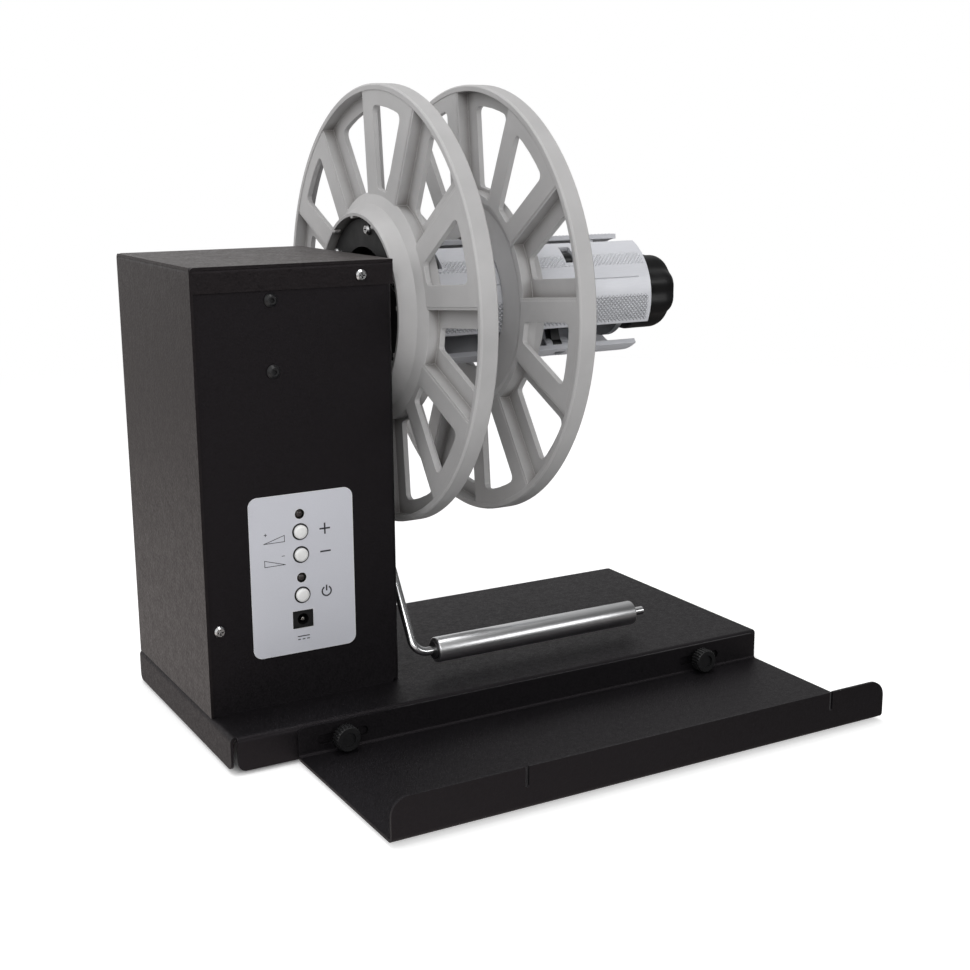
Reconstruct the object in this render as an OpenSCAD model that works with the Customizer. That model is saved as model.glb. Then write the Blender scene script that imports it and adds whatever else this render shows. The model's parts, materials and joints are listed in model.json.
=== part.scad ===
// Label unwinder: a motor tower on a folded sheet base, a spoked reel on an
// expanding core, a dancer arm with a steel roller, and a sliding front tray.
// Lengths are millimetres. Sizes below are measured from the lower front left
// corner of the base; place() moves that corner so that the origin is the
// middle of the whole object's footprint, on the table.

/* [Sheet metal] */
// Thickness of all folded sheets
sheet_t = 1.5; // [1:0.1:2]
// Outer radius of the bends
bend_r = 3; // [2.2:0.1:4]

/* [Base] */
// Width of the base
base_w = 340; // [320:1:380]
// Depth of the base
base_d = 162; // [158:1:200]
// Height of the base from its lower edge to its top
base_h = 18; // [16:0.5:24]
// Relief gap at each corner between two flanges
corner_gap = 3; // [2:0.5:5]
// Rounding of the lower corners of the flanges
flange_corner_r = 4; // [2:0.5:6]
// Height of the rubber feet below the base's lower edge
foot_drop = 2; // [1:0.5:4]
// Radius of the rubber feet
foot_r = 8; // [6:0.5:10]
// Distance of the feet from the base's edges
foot_inset = 20; // [18:1:24]

/* [Front tray] */
// Left edge of the tray, from the base's left edge
tray_x = 35; // [15:1:38]
// Width of the tray
tray_w = 301; // [295:1:320]
// Distance of the tray's front lip from the base's front
tray_reach = 110.4; // [80:0.2:150]
// Height of the front lip
lip_h = 22; // [15:0.5:30]
// Corner radius of the front lip
lip_corner_r = 9; // [4:0.5:12]
// Height of the rear flange
rear_flange_h = 17.4; // [16:0.2:18]
// Width of the notches in the lip
notch_w = 2.2; // [1.5:0.1:4]
// Depth of the notches in the lip
notch_depth = 10.5; // [5:0.5:12]
// Distance of the left notch from the tray's left edge
notch_left = 72; // [30:1:100]
// Distance of the right notch from the tray's right edge
notch_right = 38; // [20:1:100]
// Sideways travel of the tray each way
tray_shift = 12; // [4:1:14]

/* [Thumbscrews] */
// Distance of the left thumbscrew from the base's left edge
thumb_left_x = 60; // [56:1:80]
// Distance of the right thumbscrew from the base's left edge
thumb_right_x = 293; // [250:1:305]
// Height of the thumbscrews above the base's lower edge
thumb_z = 9; // [8:0.5:10]
// Radius of the thumbscrew heads
thumb_head_r = 7; // [5:0.5:8]
// Length of the thumbscrew heads
thumb_head_l = 8; // [5:0.5:12]
// Radius of the thumbscrew shanks
thumb_r = 2.5; // [2:0.1:3]

/* [Tower] */
// Width of the tower
tower_w = 110.6; // [106:0.2:114]
// Depth of the tower chassis
tower_d = 122.6; // [110:0.2:124]
// Height of the tower above the base
tower_h = 234; // [232:1:260]
// Distance of the tower's left face from the base's left edge
tower_x = 0.5; // [0:0.1:4]
// Distance of the tower's front panel from the base's front
tower_y = 34; // [30:0.5:36]
// Height of the cover's front and rear lips
cover_lip = 13; // [9:0.5:14]
// Cut-off at the chassis's lower right corners
chassis_cut = 5; // [2:0.5:8]
// Width of the flanges that the tower stands on
stand_flange = 14; // [10:1:18]

/* [Control panel] */
// Width of the panel label
label_w = 58.8; // [50:0.2:62]
// Height of the panel label
label_h = 87.4; // [86:0.2:96]
// Thickness of the panel label
label_t = 0.5; // [0.3:0.1:0.8]
// Corner radius of the panel label
label_r = 5; // [2:0.5:8]
// Distance of the column of controls from the tower's left face
control_x = 53.8; // [50:0.2:58]
// Height of the label's lower edge above the base
label_z = 27.3; // [20:0.1:40]
// Radius of the push buttons
button_r = 3.65; // [3:0.05:3.8]
// How far the buttons stand proud of the label
button_proud = 2.2; // [1.5:0.1:3]
// Travel of the push buttons
button_travel = 1; // [0.5:0.1:1.2]
// Radius of the indicator lenses
led_r = 2.5; // [2:0.1:2.8]
// Width of the power socket
jack_w = 11; // [9:0.2:12]
// Height of the power socket
jack_h = 9; // [8:0.2:10]
// Distance of the circuit board behind the front panel
board_gap = 10.5; // [9.5:0.1:14]

/* [Reel] */
// Distance of the spindle behind the base's front
spindle_y = 95; // [90:0.5:100]
// Height of the spindle above the base
spindle_rise = 202; // [194:0.5:206]
// Radius of the spindle shaft
shaft_r = 6; // [5:0.1:7]
// Outer radius of the flanges
flange_r = 123.4; // [118:0.2:130]
// Width of the flange rims
rim_w = 10.5; // [9:0.5:12]
// Thickness of the flange rims
rim_t = 3.5; // [3:0.1:5]
// Thickness of the spoke plates and webs
web_t = 3; // [2:0.1:3.5]
// Width of each half of a spoke
spoke_half = 11.5; // [10:0.5:12.5]
// Inner end of the windows
window_in_r = 66.7; // [66:0.1:72]
// Outer end of the windows
window_out_r = 111.7; // [104:0.1:112.5]
// Gap between the opened core and the bore of the flanges
bore_gap = 0.45; // [0.3:0.05:1]
// Outer radius of the flange's collar
collar_r = 54; // [53:0.5:55]
// How far the collar stands out past the rim
collar_out = 11.3; // [9:0.1:13]
// Gap between the tower and the collar of the inner flange
reel_gap = 7.4; // [6:0.1:12]
// Space between the two flanges as shown
roll_w = 48.6; // [20:0.2:100]

/* [Expanding core] */
// Outer radius of the closed core
core_r = 36; // [33:0.1:37.4]
// Thickness of the fins
fin_t = 3; // [2:0.1:3.5]
// Length of the fins
fin_l = 156.4; // [150:0.2:170]
// Angle that each fin covers
fin_arc = 90; // [86:1:96]
// Swing of the fins when the core opens
fin_swing = 4.2; // [2:0.1:6]
// Turn of the knob that opens the core
knob_turn = 70; // [50:1:75]
// Radius of the knob
knob_r = 24; // [20:0.5:26]
// Length of the knob
knob_l = 33; // [24:0.5:36]

/* [Dancer arm] */
// Radius of the arm's rod
rod_r = 2.5; // [2.2:0.1:3]
// Distance of the arm's pivot in front of the spindle
arm_fore = 2.7; // [0:0.1:10]
// Distance of the arm's pivot below the spindle
arm_drop = 100; // [90:0.5:110]
// Distance of the arm from the tower's right wall
arm_gap = 10.4; // [9:0.1:12]
// Swing of the arm
arm_swing = 60; // [30:1:65]
// Forward reach of the roller from the pivot
roller_fore = 56.8; // [40:0.1:60]
// Height of the roller's middle above the base
roller_rise = 13.2; // [12:0.1:20]
// Radius of the roller
roller_r = 7.2; // [6.5:0.1:8]
// Length of the roller
roller_l = 134.5; // [100:0.5:140]

/* [Hidden] */
$fn = 64;

// Fits
run_fit = 0.05;      // radial clearance of a turning fit
seat_fit = 0.02;     // radial clearance of a fixed fit
hole_fit = 0.15;     // radial clearance of a screw in a plain hole
slide_gap = 0.2;     // gap between faces that slide past each other
cut = 1;             // overshoot of a cutting tool

// Heights and faces
base_top = base_h;
tower_top = base_top + tower_h;
wall_x = tower_x + tower_w;              // outer face of the tower's right wall
wall_in = wall_x - sheet_t;              // inner face of that wall
front_in = tower_y + sheet_t;            // inner face of the front panel
back_y = tower_y + tower_d;              // outer face of the rear panel
back_in = back_y - sheet_t;              // inner face of the rear panel
label_front = tower_y - label_t;         // visible face of the label
board_y = front_in + board_gap;          // front face of the circuit board
spindle_z = base_top + spindle_rise;
middle_x = base_w / 2;
middle_y = (spindle_y + flange_r - tray_reach) / 2;

// Screws
pan_r = 3;           // pan head radius
pan_h = 2.2;         // pan head height
cross_w = 0.7;       // width of the cross recess
m3_r = 1.5;          // radius of an M3 thread
m4_r = 2;            // radius of an M4 thread
button_head_r = 3.6; // button head radius
button_head_h = 2.2; // button head height

// Controls, heights from the label's lower edge
led_rise = [41.3, 76.1];
button_rise = [66.5, 54, 31.8];
jack_rise = 18.3;
control_wx = tower_x + control_x;
label_low = base_top + label_z;
button_gap = 0.35;   // gap round a button
led_gap = 0.25;      // gap round a lens
jack_gap = 0.4;      // gap round the socket
button_lip_r = 5;    // rim that keeps a button in
button_lip_t = 1.2;
stem_r = 1.7;
switch_w = 6;
switch_h = 3.5;
switch_hole = 2.2;   // depth of a switch's hole
stem_in = 0.6;       // how far a stem stands in its switch at rest
board_t = 1.6;
board_w = 54;
board_h = 80;
board_edge = 4;      // distance of the standoffs from the board's edges
standoff_r = 2.8;
board_rise = 4;      // board above the label's lower edge
label_shift = 1;     // label's middle to the right of the controls
lens_in = 3;         // lens behind the front panel
lens_rim = 0.4;      // rim at a lens's foot
lens_rim_t = 1;
lead_half = 1.3;     // leads of a lens to each side of its middle
lead_r = 0.3;
jack_hole_r = 3.15;
jack_hole_l = 9;
jack_pin_r = 1;
jack_pin_back = 0.5; // how far the pin lies behind the socket's face

// Motor and bearing
bracket_x = 62;      // face that the gearbox is screwed to
bracket_t = 2;
bracket_leg = 30;
bracket_up = 24;     // bracket above the spindle
bracket_down = 31;   // bracket below the spindle
bracket_screw_x = 43;
bracket_screw_up = 14;
bracket_screw_down = 22.5;
gearbox_r = 18.5;
gearbox_l = 24;
can_r = 17;
can_l = 32;
pilot_r = 6;
pilot_l = 4;
motor_shaft_r = 3;
motor_shaft_out = 14;
motor_shaft_in = 11;
motor_pcr = 14.5;    // pitch radius of the motor screws
coupling_r = 10;
coupling_l = 20;
end_gap = 0.5;       // gap at the end of a shaft or beside a turning part
motor_screw_in = 7;  // depth of the motor's screw holes
can_ring_in = 4;     // beads near the ends of the motor's can
can_ring_out = 0.6;
can_ring_w = 1.5;
coupling_x = bracket_x + pilot_l + end_gap;
spindle_x0 = bracket_x + motor_shaft_out + end_gap;
bearing_r = 14;
bearing_w = 8;
bearing_ring_t = 2.4;
bearing_shield = 0.6;    // how far the shields lie below the rings
housing_l = 22.6;
housing_r = 17.5;
housing_flange_r = 25;
housing_flange_t = 3;
housing_pcr = 21.3;
wall_hole_r = 13;

// Reel, along the spindle
collar_edge = wall_x + reel_gap;                     // collar edge of the inner flange
flange_l = rim_w + collar_out;                       // whole depth of a flange
inner_face = collar_edge + flange_l;                 // roll side of the inner flange
outer_face = inner_face + roll_w;                    // roll side of the outer flange
sectors = 12;
sector_a = 360 / sectors;
phase_a = 10;        // middle of the first collar side sector, from the top towards the front
hub_dish = 3;        // depth of the hub below the rim on the roll side
plate_inset = 0.3;   // how far the spoke plates lie below the rim's edges
wall_inset = 0.6;    // how far the walls between the sectors lie below them
hub_inset = 0.9;     // how far the hub's outer ring lies below them
hub_r = 64.5;
collar_t = 2.5;
boss_count = 6;
boss_r = 4.2;
boss_pcr = 45;
plate_gap = 1.5;     // gap between the drive plate and the collar
plate_t = 4;
plate_back = 7;      // depth of the drive plate behind the hub's web
tab_w = 2.2;
tab_l = 4;
tab_in = 1.2;        // how far the tabs stand into the collar
rim_edge = 0.8;      // chamfer of the rim
window_in_fillet = 2.5;
window_out_fillet = 3.5;
dish_run = [3, 7];   // slope of the roll side's dish, outside the collar
cone_run = [4, 2.5]; // step of the collar's outer cone
collar_edge_cut = [0.6, 1.5];
join = 3;            // how far walls, lugs and blades reach into what carries them
plate_join = 2;      // the same for the spoke plates
spigot_fit = 0.1;    // radial clearance of the drive plate in the flange
spigot_wall = 4;
drive_boss_r = 12;
fin_gap = 0.6;
fin_x = inner_face + fin_gap;
fin_end = fin_x + fin_l;

// Expanding core
fins = 3;
fin_edge_a = 25;     // upper edge of the first fin
hinge_a = 42;        // hinge of the first fin
hinge_in = 2.5;      // hinge below the fins' inner side
hinge_r = core_r - fin_t - hinge_in;
hinge_at = polar(hinge_r, hinge_a);
hinge_pin_r = 2;
knuckle_r = 4.4;
knuckle_w = 4.6;
lug_w = 6;
lug_half = 3.2;
lug_gap = 0.3;
lug_window_a = 10;   // half of the angle of a fin's window over a lug
lug_xs = [11.2, 100.7];   // lugs from the fin's inner end
tube_r = 20;
hub_short = 22;      // how far the core's hub stops before the fins' outer ends
open_tip = hinge_at + turned(polar(core_r, fin_edge_a + fin_arc) - hinge_at, -fin_swing);
flange_bore_r = norm(open_tip) + bore_gap;
rib_t = 4;
rib_gap = 2;         // gap between the hub and the fins' cam ribs
cam_pin_r = 2;
cam_pin_a = 100;
rib_half_a = 12;
rib_past = 3.5;      // rib past the pin's middle
cam_pin_pr = 15;
cam_gap = 2;         // gap between the ribs and the cam
cam_t = 4;
cam_r = 26;
cam_slot_half = cam_pin_r + slide_gap;
cam_tube_r = 11;
key_w = 2.1;         // blades of the outer flange that run between the fins
key_a = fin_edge_a - (360 / fins - fin_arc) / 2;     // middle of the first gap between the fins
key_l = 12;
rib_x = fin_end - hub_short + rib_gap;
cam_x = rib_x + rib_t + cam_gap;
knob_gap = 1;        // gap between the fins and the knob
knob_x = fin_end + knob_gap;
knob_seat = 3;       // depth of the cam's tube in the knob
shaft_end = knob_x + knob_seat + 1;
grub_x = (cam_x + cam_t + knob_x) / 2;
grub_r = 1.5;
groove_depth = 1;
score_w = 0.6;       // line scored along a fin
score_depth = 0.5;
score_short = 8;     // how far that line stops before the fin's end

// Dancer arm
arm_x = wall_x + arm_gap;
pivot_y = spindle_y - arm_fore;
pivot_z = spindle_z - arm_drop;
arm_bend_rs = [0, 8, 8, 0];   // bends at the corners of the rod's path
bend_step = 0.02;    // how much thinner the rod is in its bends
rod_in = 15;         // length of the rod inside the wall
roller_y = pivot_y - roller_fore;
roller_z = base_top + roller_rise;
roller_gap = 12.7;   // roller's end to the right of the arm
roller_x = arm_x + roller_gap;
bush_flange_r = 7;
bush_flange_t = 2;
bush_r = 5;
bush_in = 2;         // bush behind the wall
arm_collar_r = 7;
flag_hub_r = 8;
flag_r = 24;
flag_t = 1.5;
flag_half_a = 15;
flag_back = 8;       // flag behind the wall's inner face
flag_x = wall_in - flag_back;
stop_r = 2;
stop_pr = 20;
stop_gap = 0.25;
sensor_a = -45;      // place of the sensor round the pivot
sensor_w = 10;
sensor_in_r = 17;
sensor_l = 16;
sensor_fork = 4;     // fork's depth behind the flag
sensor_wall = 1;
roller_bore_r = 5;
roller_bush_l = 9;
clip_t = 1;
clip_r = 5;
clip_groove = 0.6;
rod_stub = 8.5;

// Moves the base's corner frame to the object's origin
module place() {
    translate([-middle_x, -middle_y, foot_drop]) children();
}

// Frame on the spindle: local Z runs along +X, local X points up, local Y to the front
module on_spindle(x = 0) {
    translate([x, spindle_y, spindle_z]) rotate([0, 90, 0]) rotate([0, 0, 180]) children();
}

// Frame on the arm's pivot, turned like the spindle's
module on_pivot(x = 0) {
    translate([x, pivot_y, pivot_z]) rotate([0, 90, 0]) rotate([0, 0, 180]) children();
}

// Local Z runs back along +Y, local X along +X
module facing_back(p) {
    translate(p) rotate([-90, 0, 0]) children();
}

// Local Z runs to the front along -Y, local Y points up
module facing_front(p) {
    translate(p) rotate([90, 0, 0]) children();
}

// Flat rectangle with round corners, from its lower left corner
module round_rect(size, r) {
    union() {
        translate([r, 0]) square([size[0] - 2 * r, size[1]]);
        translate([0, r]) square([size[0], size[1] - 2 * r]);
        for (x = [r, size[0] - r], y = [r, size[1] - r]) translate([x, y]) circle(r);
    }
}

// Flat rectangle whose two lower corners are round
module round_low(size, r) {
    union() {
        translate([r, 0]) square([size[0] - 2 * r, size[1]]);
        translate([0, r]) square([size[0], size[1] - r]);
        for (x = [r, size[0] - r]) translate([x, r]) circle(r);
    }
}

// Section of a folded channel that is open downwards
module channel_section(w, h) {
    difference() {
        translate([0, h]) mirror([0, 1]) round_low([w, h], bend_r);
        translate([sheet_t, h - sheet_t]) mirror([0, 1]) round_low([w - 2 * sheet_t, h], bend_r - sheet_t);
    }
}

// Direction and its length
function unit(v) = v / norm(v);

// Point at a radius and an angle
function polar(r, a) = [r * cos(a), r * sin(a)];

// Corner points of an outline, each rounded by its own radius
function round_corner(p, q, s, r) =
    r == 0 ? [q] :
    let (a = unit(p - q), b = unit(s - q), half = acos(a * b) / 2,
        middle = q + unit(a + b) * r / sin(half),
        start = q + a * r / tan(half), stop = q + b * r / tan(half),
        u = start - middle, v = stop - middle, turn = 180 - 2 * half)
    [for (i = [0 : 4]) middle + (u * sin(turn * (1 - i / 4)) + v * sin(turn * i / 4)) / sin(turn)];
function round_outline(points, radii) =
    let (n = len(points))
    [for (i = [0 : n - 1])
        each round_corner(points[(i + n - 1) % n], points[i], points[(i + 1) % n], radii[i])];

// Pan head screw along local Z, its head's seat at 0 and its cross recess outside
module pan_screw(length) {
    difference() {
        union() {
            translate([0, 0, -pan_h]) cylinder(r1 = pan_r * 0.72, r2 = pan_r, h = pan_h * 0.5);
            translate([0, 0, -pan_h * 0.5]) cylinder(r = pan_r, h = pan_h * 0.5);
            cylinder(r = m3_r, h = length);
        }
        for (a = [0, 90]) rotate([0, 0, a]) translate([-pan_r * 0.5, -cross_w / 2, -pan_h - cut])
            cube([pan_r, cross_w, cut + pan_h * 0.6]);
    }
}

// Button head screw along local Z with a hexagon recess
module button_screw(length, r = m4_r) {
    difference() {
        union() {
            translate([0, 0, -button_head_h])
                cylinder(r1 = button_head_r * 0.6, r2 = button_head_r, h = button_head_h * 0.7);
            translate([0, 0, -button_head_h * 0.3]) cylinder(r = button_head_r, h = button_head_h * 0.3);
            cylinder(r = r, h = length);
        }
        translate([0, 0, -button_head_h - cut])
            cylinder(r = r * 0.72, h = cut + button_head_h * 0.7, $fn = 6);
    }
}

// Sizes of the pieces' screw places, shared by holes and screws
cover_screw_right = 18.6;
cover_screw_drop = 7.7;
cover_screw_left = 7.1;
cover_screw_rise = 46.3;
cover_screw_top = [wall_x - cover_screw_right, tower_top - cover_screw_drop];
cover_screw_side = [tower_x + cover_screw_left, base_top + cover_screw_rise];
bracket_screw_at = [[bracket_screw_x, spindle_z + bracket_screw_up],
    [bracket_screw_x, spindle_z - bracket_screw_down]];
tower_screw_inset = 36;
tower_screw_at = [for (x = [tower_x + tower_screw_inset, wall_x - tower_screw_inset],
    y = [front_in + stand_flange / 2, back_in - stand_flange / 2]) [x, y]];
foot_at = [for (x = [foot_inset, base_w - foot_inset], y = [foot_inset, base_d - foot_inset]) [x, y]];
thumb_xs = [thumb_left_x, thumb_right_x];
housing_screw_at = [for (a = [45 : 90 : 315]) polar(housing_pcr, a)];
motor_screw_at = [for (a = [45 : 90 : 315]) polar(motor_pcr, a)];
boss_at = [for (i = [0 : boss_count - 1]) polar(boss_pcr, phase_a + i * 360 / boss_count)];

// Base
module base_flanges(w, d) {
    // Channel across the width w, cut to round lower corners along its depth d
    intersection() {
        translate([0, d - corner_gap, 0]) rotate([90, 0, 0])
            linear_extrude(d - 2 * corner_gap) channel_section(w, base_h);
        translate([-cut, corner_gap, 0]) rotate([90, 0, 90])
            linear_extrude(w + 2 * cut) round_low([d - 2 * corner_gap, base_h], flange_corner_r);
    }
}

module base_plate() {
    color([0.17, 0.17, 0.17]) place() difference() {
        union() {
            base_flanges(base_w, base_d);
            translate([base_w, 0, 0]) rotate([0, 0, 90]) base_flanges(base_d, base_w);
        }
        for (x = thumb_xs) facing_back([x, -cut, thumb_z])
            cylinder(r = thumb_r + hole_fit, h = sheet_t + 2 * cut);
        for (p = tower_screw_at) translate([p[0], p[1], base_top - sheet_t - cut])
            cylinder(r = m4_r + hole_fit, h = sheet_t + 2 * cut);
    }
}

module base_feet() {
    color([0.06, 0.06, 0.06]) place() for (p = foot_at) translate([p[0], p[1], -foot_drop])
        cylinder(r1 = foot_r * 0.85, r2 = foot_r, h = foot_drop + base_top - sheet_t);
}

module base_nuts() {
    nut_r = thumb_r * 1.9;
    nut_h = 4;
    color([0.7, 0.7, 0.7]) place() {
        for (x = thumb_xs) facing_back([x, sheet_t, thumb_z]) difference() {
            cylinder(r = nut_r, h = nut_h, $fn = 6);
            translate([0, 0, -cut]) cylinder(r = thumb_r + run_fit, h = nut_h + 2 * cut);
        }
        for (p = tower_screw_at) translate([p[0], p[1], base_top + sheet_t]) difference() {
            cylinder(r = m4_r * 1.9, h = nut_h, $fn = 6);
            translate([0, 0, -cut]) cylinder(r = m4_r + seat_fit, h = nut_h + 2 * cut);
        }
    }
}

// Tray
tray_back = -slide_gap;                      // rear face of the rear flange
tray_d = tray_reach - slide_gap;             // depth of the tray over both flanges
module tray_section() {
    // Side view: depth along X from the lip, height along Y, open at the top
    difference() {
        round_low([tray_d, lip_h], bend_r);
        translate([sheet_t, sheet_t]) round_low([tray_d - 2 * sheet_t, lip_h], bend_r - sheet_t);
        translate([tray_d / 2, rear_flange_h]) square([tray_d, lip_h]);
    }
}

module tray_outline(h, r) {
    // Front view of a flange with round upper corners
    translate([0, h]) mirror([0, 1]) round_low([tray_w, h], r);
}

module front_tray() {
    slot_l = 2 * tray_shift;
    color([0.17, 0.17, 0.17]) place() translate([tray_x, -tray_reach, 0]) difference() {
        intersection() {
            rotate([90, 0, 90]) linear_extrude(tray_w) tray_section();
            union() {
                translate([0, tray_d / 2, 0]) rotate([90, 0, 0])
                    linear_extrude(tray_d / 2 + cut) tray_outline(lip_h, lip_corner_r);
                translate([0, tray_d + cut, 0]) rotate([90, 0, 0])
                    linear_extrude(tray_d / 2 + cut) tray_outline(rear_flange_h, flange_corner_r);
            }
        }
        for (x = [notch_left, tray_w - notch_right]) {
            translate([x - notch_w / 2, -cut, lip_h - notch_depth + notch_w / 2])
                cube([notch_w, sheet_t + 2 * cut, notch_depth]);
            facing_back([x, -cut, lip_h - notch_depth + notch_w / 2])
                cylinder(r = notch_w / 2, h = sheet_t + 2 * cut);
        }
        for (x = thumb_xs) translate([x - tray_x, tray_d - sheet_t - cut, thumb_z]) {
            for (side = [-1, 1]) facing_back([side * slot_l / 2, 0, 0])
                cylinder(r = thumb_r + hole_fit, h = sheet_t + 2 * cut);
            translate([-slot_l / 2, 0, -thumb_r - hole_fit])
                cube([slot_l, sheet_t + 2 * cut, 2 * (thumb_r + hole_fit)]);
        }
    }
}

module tray_feet() {
    color([0.06, 0.06, 0.06]) place() for (x = [foot_inset, tray_w - foot_inset], y = [foot_inset,
        tray_d - foot_inset])
        translate([tray_x + x, -tray_reach + y, -foot_drop])
            cylinder(r1 = foot_r * 0.8, r2 = foot_r * 0.9, h = foot_drop);
}

// Thumbscrew with a knurled, dished head
module thumbscrew(x) {
    knurls = 24;
    knurl_r = 0.7;
    edge = 0.8;
    neck_l = 2;
    dish = 1.2;
    past_nut = 4;
    seat_y = tray_back - sheet_t - slide_gap;
    color([0.08, 0.08, 0.08]) place() facing_back([x, seat_y - thumb_head_l, thumb_z]) difference() {
        union() {
            cylinder(r1 = thumb_head_r - edge, r2 = thumb_head_r, h = edge);
            translate([0, 0, edge]) cylinder(r = thumb_head_r, h = thumb_head_l - edge - neck_l);
            translate([0, 0, thumb_head_l - neck_l]) cylinder(r = thumb_head_r * 0.7, h = neck_l);
            cylinder(r = thumb_r, h = thumb_head_l + sheet_t * 2 + slide_gap * 2 + past_nut);
        }
        for (i = [1 : knurls]) rotate([0, 0, i * 360 / knurls]) translate([thumb_head_r, 0, -cut])
            cylinder(r = knurl_r, h = thumb_head_l, $fn = 16);
        translate([0, 0, -cut]) cylinder(r = thumb_head_r * 0.55, h = cut + dish);
    }
}

module thumbscrew_left() { thumbscrew(thumb_left_x); }

module thumbscrew_right() { thumbscrew(thumb_right_x); }

// Tower
chassis_h = tower_h - sheet_t;
module chassis_section() {
    // Plan of the folded front, right and rear panels, open to the left
    w = tower_w - sheet_t;
    difference() {
        translate([w, 0]) rotate([0, 0, 90]) round_low([tower_d, w], bend_r);
        translate([w - sheet_t, sheet_t]) rotate([0, 0, 90])
            round_low([tower_d - 2 * sheet_t, w], bend_r - sheet_t);
    }
}

module chassis_holes() {
    // Openings in the front and rear panels
    both = [tower_y - cut, back_in - cut];
    deep = sheet_t + 2 * cut;
    for (y = both) {
        facing_back([cover_screw_top[0], y, cover_screw_top[1]]) cylinder(r = m3_r + hole_fit, h = deep);
        facing_back([cover_screw_side[0], y, cover_screw_side[1]]) cylinder(r = m3_r + hole_fit, h = deep);
        for (p = bracket_screw_at) facing_back([p[0], y, p[1]]) cylinder(r = m4_r + hole_fit, h = deep);
        translate([wall_x, y, base_top]) rotate([0, 45, 0])
            translate([-chassis_cut / sqrt(2), 0, -chassis_cut])
                cube([chassis_cut * sqrt(2), deep, 2 * chassis_cut]);
    }
    control_holes(tower_y - cut, deep);
    on_spindle(wall_in - cut) {
        cylinder(r = wall_hole_r, h = deep);
        for (p = housing_screw_at) translate(p) cylinder(r = m3_r + seat_fit, h = deep);
    }
    on_pivot(wall_in - cut) cylinder(r = bush_r + seat_fit, h = deep);
}

module control_holes(y, deep) {
    for (z = button_rise) facing_back([control_wx, y, label_low + z])
        cylinder(r = button_r + button_gap, h = deep);
    for (z = led_rise) facing_back([control_wx, y, label_low + z]) cylinder(r = led_r + led_gap, h = deep);
    translate([control_wx - jack_w / 2 - jack_gap, y, label_low + jack_rise - jack_h / 2 - jack_gap])
        cube([jack_w + 2 * jack_gap, deep, jack_h + 2 * jack_gap]);
}

module tower_chassis() {
    // Its front and rear edges stop below the cover's bends
    stand_ends = [2, 10];       // gaps at the left and right ends of the stand flanges
    stand_x = tower_x + sheet_t + stand_ends[0];
    color([0.11, 0.11, 0.115]) place() difference() {
        union() {
            translate([tower_x + sheet_t, tower_y, base_top]) linear_extrude(chassis_h) chassis_section();
            for (y = [front_in, back_in - stand_flange]) translate([stand_x, y, base_top])
                cube([wall_in - stand_ends[1] - stand_x, stand_flange, sheet_t]);
        }
        chassis_holes();
        for (y = [tower_y - cut, back_y - bend_r]) translate([tower_x, y, tower_top - bend_r])
            cube([tower_w + cut, bend_r + cut, bend_r + cut]);
        for (p = tower_screw_at) translate([p[0], p[1], base_top - cut])
            cylinder(r = m4_r + hole_fit, h = sheet_t + 2 * cut);
    }
}

module tower_cover() {
    // Left panel and top with a lip down the front and the rear, and two tabs behind the panels
    out_y = tower_y - sheet_t;
    out_d = tower_d + 2 * sheet_t;
    tab = 14;
    color([0.33, 0.31, 0.3]) place() difference() {
        union() {
            translate([tower_x, out_y + out_d, base_top]) rotate([90, 0, 0])
                linear_extrude(out_d) intersection() {
                channel_left(tower_w, tower_h);
                square([tower_w, tower_h]);
            }
            translate([tower_x, out_y, tower_top - cover_lip]) rotate([90, 0, 90]) linear_extrude(tower_w)
                channel_section(out_d, cover_lip);
            for (y = [front_in, back_in - sheet_t])
                translate([tower_x + sheet_t / 2, y, cover_screw_side[1] - tab / 2])
                    cube([tab, sheet_t, tab]);
        }
        for (y = [out_y - cut, back_y - cut])
            facing_back([cover_screw_top[0], y, cover_screw_top[1]])
                cylinder(r = m3_r + hole_fit, h = sheet_t + 2 * cut);
        for (y = [front_in - cut, back_in - sheet_t - cut])
            facing_back([cover_screw_side[0], y, cover_screw_side[1]])
                cylinder(r = m3_r + seat_fit, h = sheet_t + 2 * cut);
    }
}

module channel_left(w, h) {
    // Section of the left panel and the top, rounded where they meet
    difference() {
        translate([0, h]) mirror([0, 1]) round_low([2 * w, 2 * h], bend_r);
        translate([sheet_t, h - sheet_t]) mirror([0, 1]) round_low([2 * w, 2 * h], bend_r - sheet_t);
    }
}

module cover_screws() {
    length = 5;
    color([0.78, 0.78, 0.8]) place() {
        facing_back([cover_screw_top[0], tower_y - sheet_t, cover_screw_top[1]]) pan_screw(length);
        facing_back([cover_screw_side[0], tower_y, cover_screw_side[1]]) pan_screw(length);
        facing_front([cover_screw_top[0], back_y + sheet_t, cover_screw_top[1]]) pan_screw(length);
        facing_front([cover_screw_side[0], back_y, cover_screw_side[1]]) pan_screw(length);
    }
}

module bracket_screws() {
    length = 6;
    color([0.07, 0.07, 0.07]) place() for (p = bracket_screw_at) {
        facing_back([p[0], tower_y, p[1]]) button_screw(length);
        facing_front([p[0], back_y, p[1]]) button_screw(length);
    }
}

module tower_screws() {
    // From below the base, through the tower's stand flanges into their nuts
    length = 2 * sheet_t + 5;
    color([0.7, 0.7, 0.7]) place() for (p = tower_screw_at)
        translate([p[0], p[1], base_top - sheet_t]) button_screw(length);
}

// Control panel
module control_label() {
    color([0.72, 0.73, 0.75]) place() difference() {
        facing_front([control_wx - label_w / 2 + label_shift, tower_y, label_low])
            linear_extrude(label_t) round_rect([label_w, label_h], label_r);
        control_holes(label_front - cut, label_t + 2 * cut);
    }
}

module circuit_board() {
    color([0.1, 0.3, 0.15]) place() difference() {
        translate([control_wx - board_w / 2, board_y, label_low + board_rise])
            cube([board_w, board_t, board_h]);
        for (p = standoff_at) facing_back([p[0], board_y - cut, p[1]])
            cylinder(r = m3_r + hole_fit, h = board_t + 2 * cut);
    }
}

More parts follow.
